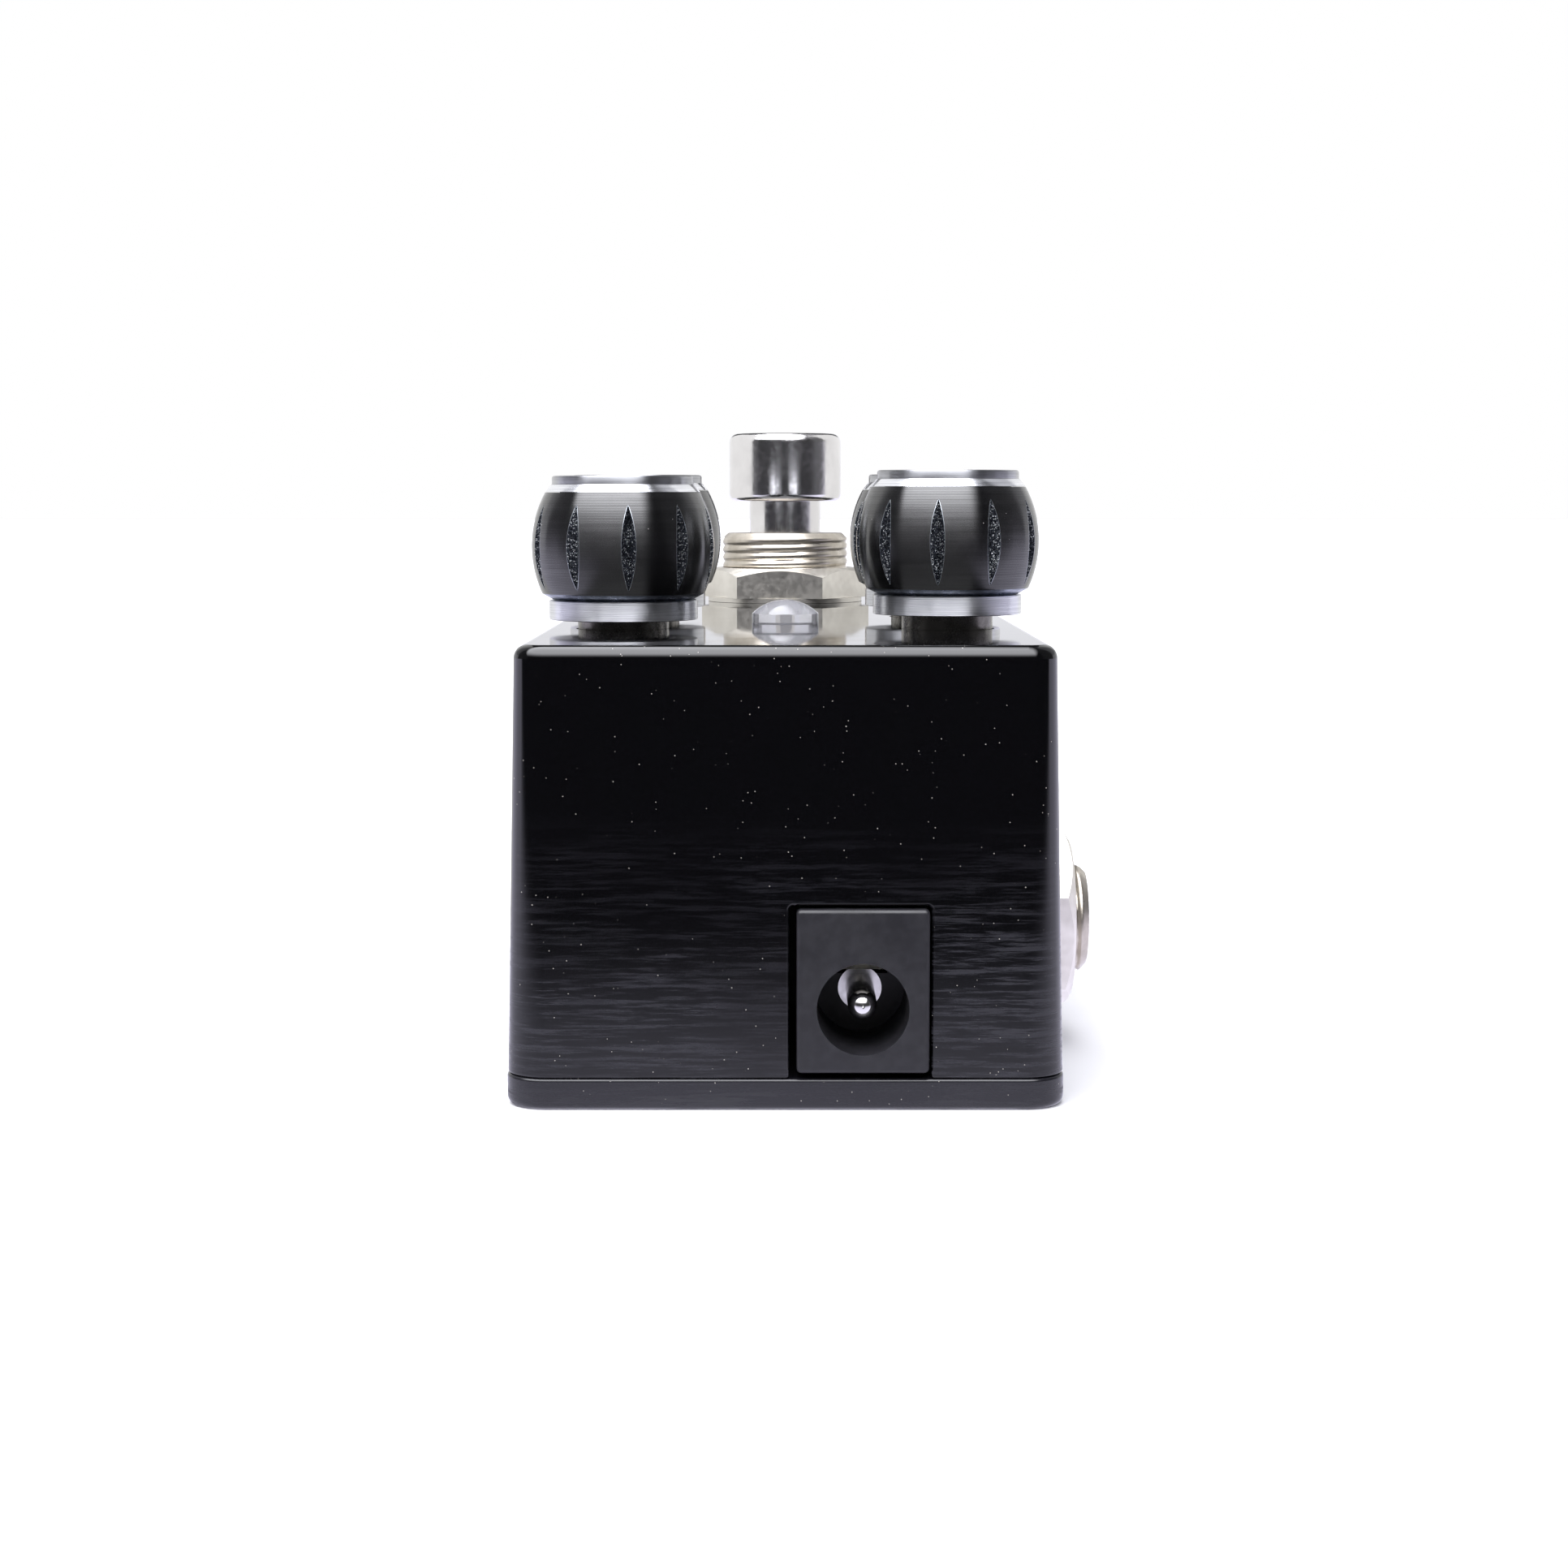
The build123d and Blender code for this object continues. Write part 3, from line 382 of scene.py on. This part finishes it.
PAINT = gloss_paint("gloss_black_paint", 0.0215, 0.0085, (0.0010, 0.0010, 0.0013))
PLATE = gloss_paint("plate_black_paint", 0.0030, 0.0005, (0.0072, 0.0070, 0.0095), 0.18)
ANODISED = anodised()
CUT = cut_metal()
# painted highlight: the flute rims are bare metal left lighter than the darkened flute walls
RIM = metal("flute_rim_metal", (0.62, 0.66, 0.70), (0.36, 0.39, 0.43), 0.34, 2500.0)
NECK = metal("dark_cut_metal", (0.30, 0.33, 0.40), (0.16, 0.18, 0.22), 0.30, 900.0)
POINTER = moulded("pointer_white_paint", (0.66, 0.66, 0.64), (0.78, 0.78, 0.76), 0.45, 1800.0, 0.006)
# painted shade: the base ring's turned metal is darkened a little, and the bezel's edge band to half
BRIGHT = bright_turned("bright_turned_metal", 0.34, 0.9, 0.84)
SHADED_EDGE = bright_turned("bezel_edge_shaded_metal", 0.34, 0.9, 0.50)
POLISHED = bright_turned("diamond_cut_metal", 0.15, 0.0)
CHROME = metal("bright_nickel_plate", (0.80, 0.785, 0.785), (0.72, 0.705, 0.705), 0.16, 260.0, depth=0.0006)
NICKEL = metal("warm_nickel_plate", (0.80, 0.77, 0.71), (0.72, 0.69, 0.63), 0.34, 260.0, depth=0.0005)
# painted shade: the collars' zinc is darkened for the shade in the gap under the knobs
SHADED_COLLAR = metal("shaded_zinc_collar", (0.20, 0.19, 0.175), (0.11, 0.105, 0.095), 0.24, 900.0)
THREAD = metal("warm_nickel_thread", (0.60, 0.555, 0.49), (0.46, 0.42, 0.36), 0.32, 700.0)
STEEL = metal("bright_spring_steel", (0.62, 0.62, 0.62), (0.46, 0.46, 0.47), 0.26, 900.0)
ZINC = metal("tumbled_zinc", (0.50, 0.50, 0.49), (0.34, 0.34, 0.34), 0.38, 1200.0)
# painted light: the socket's ring contact is lifted to full brightness for the light reaching into the socket
CONTACT = metal("sprung_contact_metal", (1.0, 0.99, 0.86), (0.90, 0.89, 0.75), 0.60, 2500.0)
TINNED = metal("tinned_contact_metal", (0.80, 0.78, 0.72), (0.62, 0.58, 0.48), 0.28, 1500.0)
BLACK_STEEL = metal("blackened_steel", (0.060, 0.060, 0.064), (0.030, 0.030, 0.032), 0.35, 1200.0)
SOCKET = moulded("socket_black_moulding", (0.0075, 0.0073, 0.0095), (0.0125, 0.0122, 0.0155), 0.42)
JACK_BODY = moulded("jack_black_moulding", (0.016, 0.016, 0.017), (0.030, 0.030, 0.032), 0.5)
PHENOLIC = moulded("brown_phenolic", (0.16, 0.085, 0.040), (0.24, 0.14, 0.075), 0.5, 900.0, 0.02)
CHIP = moulded("chip_epoxy", (0.012, 0.012, 0.013), (0.022, 0.022, 0.023), 0.55, 2200.0)
SLEEVE = moulded("capacitor_sleeve", (0.010, 0.012, 0.030), (0.020, 0.024, 0.050), 0.3, 600.0, 0.01)
BOARD = board_mask()
LENS = clear_plastic("clear_lens", (0.90, 0.90, 0.95), 0.05, 0.78)
LAMP = clear_plastic("lamp_epoxy", (0.95, 0.96, 0.98), 0.06)

FINISHES = {
    "enclosure_shell": PAINT, "base_plate": PLATE, "base_screws": BLACK_STEEL,
    "dc_jack_housing": SOCKET, "dc_jack_pin": CHROME, "dc_jack_contact": CONTACT, "dc_jack_tags": TINNED,
    "power_board": BOARD, "control_board": BOARD, "footswitch_board": BOARD,
    "pot_bushings": SHADED_COLLAR, "pot_bases": PHENOLIC, "pot_terminals": TINNED,
    "footswitch_plunger": CHROME, "footswitch_bushing": THREAD, "footswitch_washer": NICKEL,
    "footswitch_nut": NICKEL, "footswitch_inner_nut": NICKEL, "footswitch_frame": ZINC,
    "footswitch_body": PHENOLIC, "footswitch_lugs": TINNED, "footswitch_contacts": TINNED,
    "footswitch_spring": STEEL, "footswitch_leads": TINNED,
    "led_lens": LENS, "status_led": LAMP, "amplifier_chips": CHIP, "capacitors": SLEEVE,
    "board_header": CHIP, "jack_leads": TINNED,
}
for side in ("output_jack", "input_jack"):
    FINISHES[f"{side}_body"] = JACK_BODY
    FINISHES[f"{side}_bushing"] = THREAD
    FINISHES[f"{side}_washer"] = NICKEL
    FINISHES[f"{side}_nut"] = NICKEL
    FINISHES[f"{side}_contacts"] = TINNED
for number in range(1, 5):
    FINISHES[f"knob_core_{number}"] = BRIGHT
    FINISHES[f"knob_barrel_{number}"] = ANODISED
    FINISHES[f"knob_bezel_{number}"] = POLISHED
    FINISHES[f"knob_set_screw_{number}"] = BLACK_STEEL
    FINISHES[f"pot_shaft_{number}"] = ZINC

for name, obj in NODES.items():
    obj.data.materials.clear()
    obj.data.materials.append(FINISHES[name])

# ---------------------------------------------------------------- knobs
# millimetres, with heights above the underside of the base ring
FLUTES = 10
FLUTE_ROOT = 6.378  # radius of the flutes' bottom lines
FLUTE_SLOPE = 0.907  # half width of a flute for each mm of its depth
FLUTE_STEPS, LAND_STEPS = 44, 9  # mesh rows along a flute, and columns between two flutes
BARREL_R, BARREL_LOW_R, BARREL_TOP_R = 7.0, 6.24, 5.95
BARREL_LOW, BARREL_BELLY, BARREL_TOP = 2.0, 5.55, 9.68
BARREL_ANGLE = 28.0  # degrees: sharper edges than this stay sharp
NECK_R = 5.35
BORE_R, BORE_TOP = 4.55, 9.0
KNOB_TOP = 10.60
RING_R, RING_HEIGHT = 5.7, 1.48
GROOVES, GROOVE_R = 10, 5.691
SHAFT_BORE_R = 3.02
HUB_R, HUB_TOP = 4.48, 8.9
COUNTERBORE_R, COUNTERBORE_TOP = 3.9, 2.6
SCREW_HOLE_R, SCREW_HOLE_Z = 1.53, 5.9
POINTER_HALF_WIDTH, POINTER_HALF_LENGTH, POINTER_Y = 0.35, 1.8, -2.6
TURNS = {1: 6.8, 2: -9.6, 3: 16.0, 4: 2.0}  # degrees that each knob is turned at rest
RIM_WIDTH = 0.030  # the bright line along a flute's edge, a painted highlight
FULL_RIM_AT = 0.08  # half width of a flute where its rim gets its full width
ON_BARREL, ON_FLUTE, ON_RIM, ON_NECK = range(4)  # the barrel's materials
BEZEL = (
    (4.83, 9.71), (5.90, 9.71), (5.92, 9.72), (5.47, 10.27), (5.42, 10.31), (5.42, 10.78), (5.38, 10.88),
    (5.30, 10.94), (5.20, 10.95), (4.98, 10.93), (4.90, 10.86), (4.87, 10.70), (4.83, 10.60), (4.83, 9.71),
)
BEZEL_BANDS = [0] * 3 + [1] * 10  # the polished bevel, then the rougher edge band, whose darker colour is painted shade


def arc_through(p, q, r):
    """Centre and radius of the circle through three (radius, height) points."""
    (ax, ay), (bx, by), (cx, cy) = p, q, r
    d = 2 * (ax * (by - cy) + bx * (cy - ay) + cx * (ay - by))
    a2, b2, c2 = ax * ax + ay * ay, bx * bx + by * by, cx * cx + cy * cy
    ux = (a2 * (by - cy) + b2 * (cy - ay) + c2 * (ay - by)) / d
    uy = (a2 * (cx - bx) + b2 * (ax - cx) + c2 * (bx - ax)) / d
    return ux, uy, math.hypot(ax - ux, ay - uy)


ARC = arc_through((BARREL_LOW_R, BARREL_LOW), (BARREL_R, BARREL_BELLY), (BARREL_TOP_R, BARREL_TOP))


def barrel_radius(z):
    """The barrel's radius at a height."""
    ux, uy, radius = ARC
    return ux + math.sqrt(max(radius * radius - (z - uy) ** 2, 0.0))


def flute_half_width(z):
    """Half the width of a flute at a height, where its sloping sides meet the barrel's outside."""
    r = barrel_radius(z)
    if r <= FLUTE_ROOT:
        return 0.0
    a, b = 1 / FLUTE_SLOPE ** 2 + 1, FLUTE_ROOT / FLUTE_SLOPE
    return (-b + math.sqrt(b * b - a * (FLUTE_ROOT ** 2 - r * r))) / a


def flute_ends():
    """The heights where a flute begins and ends."""
    ux, uy, radius = ARC
    reach = math.sqrt(radius * radius - (FLUTE_ROOT - ux) ** 2)
    return uy - reach, uy + reach


def barrel(number, origin):
    """The black barrel with its bare metal flutes: each flute's walls and rims are their own faces. The walls
    are darkened with painted shade and the rims are a painted highlight.
    """
    low_end, high_end = flute_ends()
    rows = [BARREL_LOW, (BARREL_LOW + low_end) / 2]
    rows += [low_end + (high_end - low_end) * i / FLUTE_STEPS for i in range(FLUTE_STEPS + 1)]
    rows += [(high_end + BARREL_TOP) / 2, BARREL_TOP]
    verts, faces, kinds = [], [], []
    for z in rows:
        r, w = barrel_radius(z), flute_half_width(z)
        w = w if w > 1e-4 else 0.0
        root = FLUTE_ROOT if w > 0 else r
        edge = math.asin(w / r)
        rim = edge + RIM_WIDTH / r * min(1.0, w / FULL_RIM_AT)
        land = 2 * math.pi / FLUTES - 2 * rim
        for f in range(FLUTES):
            a = math.radians(-90 + TURNS[number] + f * 360 / FLUTES)
            spots = [(r, a - rim), (r, a - edge), (root, a), (r, a + edge), (r, a + rim)]
            spots += [(r, a + rim + land * i / LAND_STEPS) for i in range(1, LAND_STEPS)]
            verts += [(q * math.cos(b), q * math.sin(b), z) for q, b in spots]
    per_flute = 4 + LAND_STEPS
    columns = FLUTES * per_flute
    across = {0: ON_RIM, 1: ON_FLUTE, 2: ON_FLUTE, 3: ON_RIM}
    for i in range(len(rows) - 1):
        faces += ring_faces(i * columns, (i + 1) * columns, columns)
        kinds += [across.get(k % per_flute, ON_BARREL) for k in range(columns)]
    # the rest is turned, on the same columns: top, bore, underside and neck, back to the barrel's foot
    angles = [math.atan2(y, x) for x, y, _ in verts[:columns]]
    loop = [
        ((4.82, BARREL_TOP), ON_BARREL), ((4.80, 10.53), ON_BARREL), ((4.72, KNOB_TOP), ON_BARREL),
        ((0.0, KNOB_TOP), ON_BARREL), ((0.0, BORE_TOP), None), ((BORE_R, BORE_TOP), ON_BARREL),
        ((BORE_R, RING_HEIGHT + 0.02), ON_BARREL), ((NECK_R, RING_HEIGHT + 0.02), ON_BARREL),
        ((5.36, RING_HEIGHT + 0.04), ON_NECK), ((BARREL_LOW_R - 0.02, BARREL_LOW - 0.02), ON_NECK),
    ]
    last = (len(rows) - 1) * columns
    for (radius, height), kind in loop:
        first = len(verts)
        verts += [(radius * math.cos(a), radius * math.sin(a), height) for a in angles]
        if kind is not None:
            faces += ring_faces(last, first, columns)
            kinds += [kind] * columns
        last = first
    faces += ring_faces(last, 0, columns)
    kinds += [ON_NECK] * columns
    obj = piece(f"knob_{number}_barrel", verts, faces, [ANODISED, CUT, RIM, NECK], origin, f"knob_{number}",
                (f"knob_barrel_{number}",), BARREL_ANGLE, kinds)
    # the set screw's hole, and the painted pointer groove in the top
    a = math.radians(-90 + TURNS[number] + 180 + 180 / FLUTES)
    hole = Matrix.Translation((5.8 * math.cos(a), 5.8 * math.sin(a), SCREW_HOLE_Z))
    hole = hole @ Matrix.Rotation(a, 4, "Z") @ Matrix.Rotation(math.radians(90), 4, "Y")
    carve(obj, hole, SCREW_HOLE_R, SCREW_HOLE_R, 3.0, ANODISED)
    groove = Matrix.Translation((0, POINTER_Y, KNOB_TOP))
    carve(obj, groove, POINTER_HALF_WIDTH, POINTER_HALF_LENGTH, 0.5, POINTER)


def carve(obj, place, half_width, half_length, depth, material):
    """Cuts a stadium-shaped hole, centred at place (mm) and along its Z, out of the object's mesh."""
    sides = 40
    cutter = bmesh.new()
    outline = []
    for k in range(sides):
        a = 2 * math.pi * k / sides
        stretch = 0.0
        if half_length > half_width:
            stretch = math.copysign(half_length - half_width, math.sin(a))
        outline.append((half_width * math.cos(a), half_width * math.sin(a) + stretch))
    low = [cutter.verts.new(place @ Vector((x, y, -depth / 2)) * MM) for x, y in outline]
    high = [cutter.verts.new(place @ Vector((x, y, depth / 2)) * MM) for x, y in outline]
    cutter.faces.new(reversed(low))
    cutter.faces.new(high)
    for k in range(sides):
        j = (k + 1) % sides
        cutter.faces.new((low[k], low[j], high[j], high[k]))
    mesh = bpy.data.meshes.new("cutter")
    cutter.to_mesh(mesh)
    cutter.free()
    mesh.materials.append(material)
    tool = bpy.data.objects.new("cutter", mesh)
    bpy.context.scene.collection.objects.link(tool)
    tool.location = obj.location
    bpy.context.view_layer.update()
    change = obj.modifiers.new("carve", "BOOLEAN")
    change.operation, change.solver, change.material_mode = "DIFFERENCE", "EXACT", "TRANSFER"
    change.object = tool
    bpy.context.view_layer.update()
    result = bpy.data.meshes.new_from_object(obj.evaluated_get(bpy.context.evaluated_depsgraph_get()))
    obj.modifiers.clear()
    obj.data = result
    bpy.data.objects.remove(tool)
    smooth(result, BARREL_ANGLE)


def knob(number):
    origin = foot_mm(f"knob_core_{number}")
    body = f"knob_{number}"
    barrel(number, origin)
    # base ring: fine turned grooves, with the hub's underside and its bore
    grooves = [(RING_R - 0.08, 0.0), (RING_R, 0.05)]
    pitch = (RING_HEIGHT - 0.12) / GROOVES
    for i in range(GROOVES):
        z = 0.06 + pitch * i
        grooves += [(RING_R, z), (RING_R, z + pitch * 0.30), (GROOVE_R, z + pitch * 0.65)]
    grooves += [(RING_R, 0.06 + pitch * GROOVES), (5.64, RING_HEIGHT)]
    ring = [(SHAFT_BORE_R, 8.3), (SHAFT_BORE_R, COUNTERBORE_TOP), (COUNTERBORE_R, COUNTERBORE_TOP)]
    ring += [(COUNTERBORE_R, 0.12), (COUNTERBORE_R + 0.12, 0.0)] + grooves
    ring += [(HUB_R + 0.04, RING_HEIGHT), (HUB_R, RING_HEIGHT + 0.02), (HUB_R, HUB_TOP)]
    ring += [(SHAFT_BORE_R, HUB_TOP), (SHAFT_BORE_R, 8.3)]
    lathe(f"knob_{number}_base_ring", ring, [BRIGHT], origin, body,
          (f"knob_core_{number}",), 12.0)
    lathe(f"knob_{number}_bezel", BEZEL, [POLISHED, SHADED_EDGE], origin, body,
          (f"knob_bezel_{number}",), 26.0, BEZEL_BANDS)


for number in range(1, 5):
    knob(number)


# ---------------------------------------------------------------- threaded bushings
THREAD_DEPTH, MOUTH_CHAMFER = 0.15, 0.5
THREAD_COLUMNS, ROWS_PER_PITCH = 112, 10


def threaded(name, radius, bore, start, end, thread_start, pitch, origin, replaced, axis="Z"):
    """A sleeve along the axis from start to end with a helical thread and a chamfered mouth."""
    rows = [start, thread_start - 0.01]
    count = int((end - thread_start) / pitch * ROWS_PER_PITCH)
    rows += [thread_start + (end - thread_start) * i / count for i in range(count + 1)]
    verts, faces = [], []

    def ring(height, radius_at):
        for k in range(THREAD_COLUMNS):
            a = 2 * math.pi * k / THREAD_COLUMNS
            r = radius_at(a)
            verts.append(turned(r * math.cos(a), r * math.sin(a), height, axis))

    for height in rows:
        def outside(a, height=height):
            if height < thread_start:
                return radius
            phase = (height / pitch - a / (2 * math.pi)) % 1.0
            groove = max(0.0, 1.0 - abs(phase - 0.5) / 0.36)
            return min(radius - THREAD_DEPTH * groove, radius - max(0.0, height - (end - MOUTH_CHAMFER)))
        ring(height, outside)
    lip = min(0.25, (radius - bore) / 4)
    mouth_and_bore = ((bore + lip, end), (bore + 0.02, end - lip), (bore, end - lip - 0.05), (bore, start))
    for r, height in mouth_and_bore:
        ring(height, lambda a, r=r: r)
    total = len(rows) + len(mouth_and_bore)
    for i in range(total):
        faces += ring_faces(i * THREAD_COLUMNS, (i + 1) % total * THREAD_COLUMNS, THREAD_COLUMNS)
    return piece(name, verts, faces, [THREAD], origin, "chassis", replaced, 40.0)


low, high = box_mm("footswitch_bushing")
threaded("footswitch_threaded_bushing", radius=6.0, bore=3.46, start=low.z, end=high.z, thread_start=32.3,
         pitch=0.75, origin=((low.x + high.x) / 2, (low.y + high.y) / 2, 0), replaced=("footswitch_bushing",))
for side, axis in (("output_jack", "X"), ("input_jack", "-X")):
    low, high = box_mm(f"{side}_bushing")
    near, far = sorted((abs(low.x), abs(high.x)))
    threaded(f"{side}_threaded_bushing", radius=4.1, bore=3.27, start=near, end=far, thread_start=19.5,
             pitch=0.70, origin=(0, (low.y + high.y) / 2, (low.z + high.z) / 2),
             replaced=(f"{side}_bushing",), axis=axis)


# ---------------------------------------------------------------- return spring
rest_spring = NODES["footswitch_spring"]
low, high = box_mm("footswitch_spring")
spring = bpy.data.objects.new("footswitch_return_spring", rest_spring.data.copy())
bpy.context.scene.collection.objects.link(spring)
spring.matrix_world = rest_spring.matrix_world
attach(spring, "chassis")
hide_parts("footswitch_spring")
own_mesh(spring)


# ---------------------------------------------------------------- floor, light and camera
def emitter(name, colour):
    """A plain glowing material, with its graph and its emission node."""
    material = bpy.data.materials.new(name)
    graph = Graph(material)
    glow = graph.add("ShaderNodeEmission")
    glow.inputs["Color"].default_value = (*colour, 1.0)
    glow.inputs["Strength"].default_value = 1.0
    graph.link(glow.outputs[0], graph.add("ShaderNodeOutputMaterial").inputs["Surface"])
    return material, graph, glow


def stage_sheet(name, corners_mm, material):
    """A flat stage piece: not part of the object."""
    mesh = bpy.data.meshes.new(name)
    mesh.from_pydata([tuple(c * MM for c in p) for p in corners_mm], [], [(0, 1, 2, 3)])
    mesh.materials.append(material)
    obj = bpy.data.objects.new(name, mesh)
    bpy.context.scene.collection.objects.link(obj)
    return obj


def only_reflected(obj):
    obj.visible_camera = obj.visible_diffuse = obj.visible_shadow = obj.visible_transmission = False
    obj.visible_volume_scatter = False


REAR = box_mm("enclosure_shell")[0].y
FAR = 4000.0
whole = [(-FAR, -FAR, 0), (FAR, -FAR, 0), (FAR, FAR, 0), (-FAR, FAR, 0)]
pale = Shader("pale_floor", (0.62, 0.62, 0.63), 0.0, 0.8)
pale.colour(pale.mix(pale.remap(pale.noise(30.0, 3.0), 0.3, 0.7), (0.60, 0.60, 0.61), (0.64, 0.64, 0.65)))
floor = stage_sheet("floor", whole, pale.material)
floor.visible_glossy = False

# what the gloss paint mirrors: the lit part of the floor, which fades out in front of the rear wall
FADE_LENGTH = 250
FLOOR_LIGHT = (  # share of the way from the fade's far end to the rear wall, and brightness
    (0.0, 0.045), (0.48, 0.055), (0.60, 0.10), (0.70, 0.23), (0.79, 0.48), (0.865, 0.78), (0.95, 1.08),
    (1.0, 1.25),
)
RAMP_FULL = 2.0  # the ramp holds the brightness divided by this, which keeps it within 0 to 1
sheen, graph, glow = emitter("lit_floor", (0.95, 0.93, 1.13))
along_floor = graph.parts(graph.add("ShaderNodeTexCoord").outputs["Object"])[1]
reach = graph.remap(along_floor, (REAR - FADE_LENGTH) * MM, REAR * MM, smoothed=False)
fade = graph.add("ShaderNodeValToRGB")
while len(fade.color_ramp.elements) < len(FLOOR_LIGHT):
    fade.color_ramp.elements.new(0.5)
for element, (at, value) in zip(fade.color_ramp.elements, FLOOR_LIGHT):
    element.position = at
    element.color = (*[value / RAMP_FULL] * 3, 1)
graph.link(reach, fade.inputs[0])
graph.link(graph.maths("MULTIPLY", fade.outputs[0], RAMP_FULL), glow.inputs["Strength"])
only_reflected(stage_sheet("lit_floor", whole, sheen))

# white cards beside the foot switch
CARD_FAR, CARD_HIGH = 180, 150
card = emitter("white_card", (1.0, 1.0, 1.0))[0]
for name, x, near in (("left_card", -58, 8), ("right_card", 60, 28)):
    corners = [(x, near, 0), (x, CARD_FAR, 0), (x, CARD_FAR, CARD_HIGH), (x, near, CARD_HIGH)]
    only_reflected(stage_sheet(name, corners, card))

world = bpy.data.worlds.new("studio")
bpy.context.scene.world = world
sky = Graph(world)


def above(value, edge, soft):
    """1 where value is above the edge, with a soft step."""
    return sky.remap(value, edge - soft, edge + soft)


def product(*masks):
    result = masks[0]
    for mask in masks[1:]:
        result = sky.maths("MULTIPLY", result, mask)
    return result


def opposite(mask):
    return sky.maths("SUBTRACT", 1.0, mask)


# where each light is, in degrees away from the rear wall's side and above the horizon
SIDES_FROM, BEHIND_FROM, FLANKS_TO = 60.0, 112.0, 152.0
BACKDROP_TOP, OVERHEAD_FROM, FLANKS_TOP = 12.0, 35.0, 62.0
OVERHEAD, FLANKS, SIDES, AMBIENT = 8.0, 0.5, 0.10, 0.05  # strengths; the backdrop's is 1

dx, dy, dz = sky.parts(sky.add("ShaderNodeTexCoord").outputs["Generated"])
azimuth = sky.maths("ARCTAN2", dx, sky.maths("MULTIPLY", dy, -1.0))  # 0 on the rear wall's side
turned_away = sky.maths("MULTIPLY", sky.maths("ABSOLUTE", azimuth), 180 / math.pi)
elevation = sky.maths("MULTIPLY", sky.maths("ARCSINE", dz), 180 / math.pi)
raised = sky.maths("MAXIMUM", dz, 0.02)
across, along = sky.maths("DIVIDE", dx, raised), sky.maths("DIVIDE", dy, raised)
# a wedge-shaped overhead light that opens towards the rear wall's side and fades towards the horizon
right_edge = sky.maths("SUBTRACT", sky.maths("MULTIPLY", along, -0.52), across)
left_edge = sky.maths("SUBTRACT", across, sky.maths("MULTIPLY", along, 1.3))
overhead = product(above(right_edge, -0.27, 0.22), above(left_edge, -0.95, 0.20),
                   above(elevation, OVERHEAD_FROM, 20.0))
behind = above(turned_away, BEHIND_FROM, 3.0)
backdrop = product(behind, opposite(above(elevation, BACKDROP_TOP, 3.0)))
flanks = product(behind, opposite(above(turned_away, FLANKS_TO, 10.0)), above(elevation, BACKDROP_TOP, 3.0),
                 opposite(above(elevation, FLANKS_TOP, 6.0)))
sides = product(above(turned_away, SIDES_FROM, 8.0), opposite(above(turned_away, BEHIND_FROM, 3.0)))
level = sky.maths("ADD", sky.maths("MULTIPLY", overhead, OVERHEAD), backdrop)
level = sky.maths("ADD", level, sky.maths("MULTIPLY", flanks, FLANKS))
level = sky.maths("ADD", level, sky.maths("MULTIPLY", sides, SIDES))
level = sky.maths("ADD", level, AMBIENT)
lit = sky.add("ShaderNodeBackground")
lit.inputs["Color"].default_value = (0.95, 0.955, 1.0, 1.0)
sky.link(level, lit.inputs["Strength"])
# what shows round the object is plain white, without the lights' shapes
seen = sky.add("ShaderNodeBackground")
seen.inputs["Color"].default_value = (1.0, 1.0, 1.0, 1.0)
chooser = sky.add("ShaderNodeMixShader")
sky.link(sky.add("ShaderNodeLightPath").outputs["Is Camera Ray"], chooser.inputs[0])
sky.link(lit.outputs[0], chooser.inputs[1])
sky.link(seen.outputs[0], chooser.inputs[2])
sky.link(chooser.outputs[0], sky.add("ShaderNodeOutputWorld").inputs["Surface"])

CAMERA_PLACE = (-0.0001, -0.2270, 0.04256)  # metres
CAMERA_TILT = 6.252  # degrees below level
camera = bpy.data.cameras.new("camera")
camera.sensor_width = 36.0
camera.lens = 61.06
camera.clip_start, camera.clip_end = 0.01, 30.0
viewer = bpy.data.objects.new("camera", camera)
bpy.context.scene.collection.objects.link(viewer)
viewer.location = CAMERA_PLACE
viewer.rotation_euler = (math.radians(90 - CAMERA_TILT), 0, 0)
bpy.context.scene.camera = viewer
bpy.context.scene.view_settings.view_transform = "Standard"
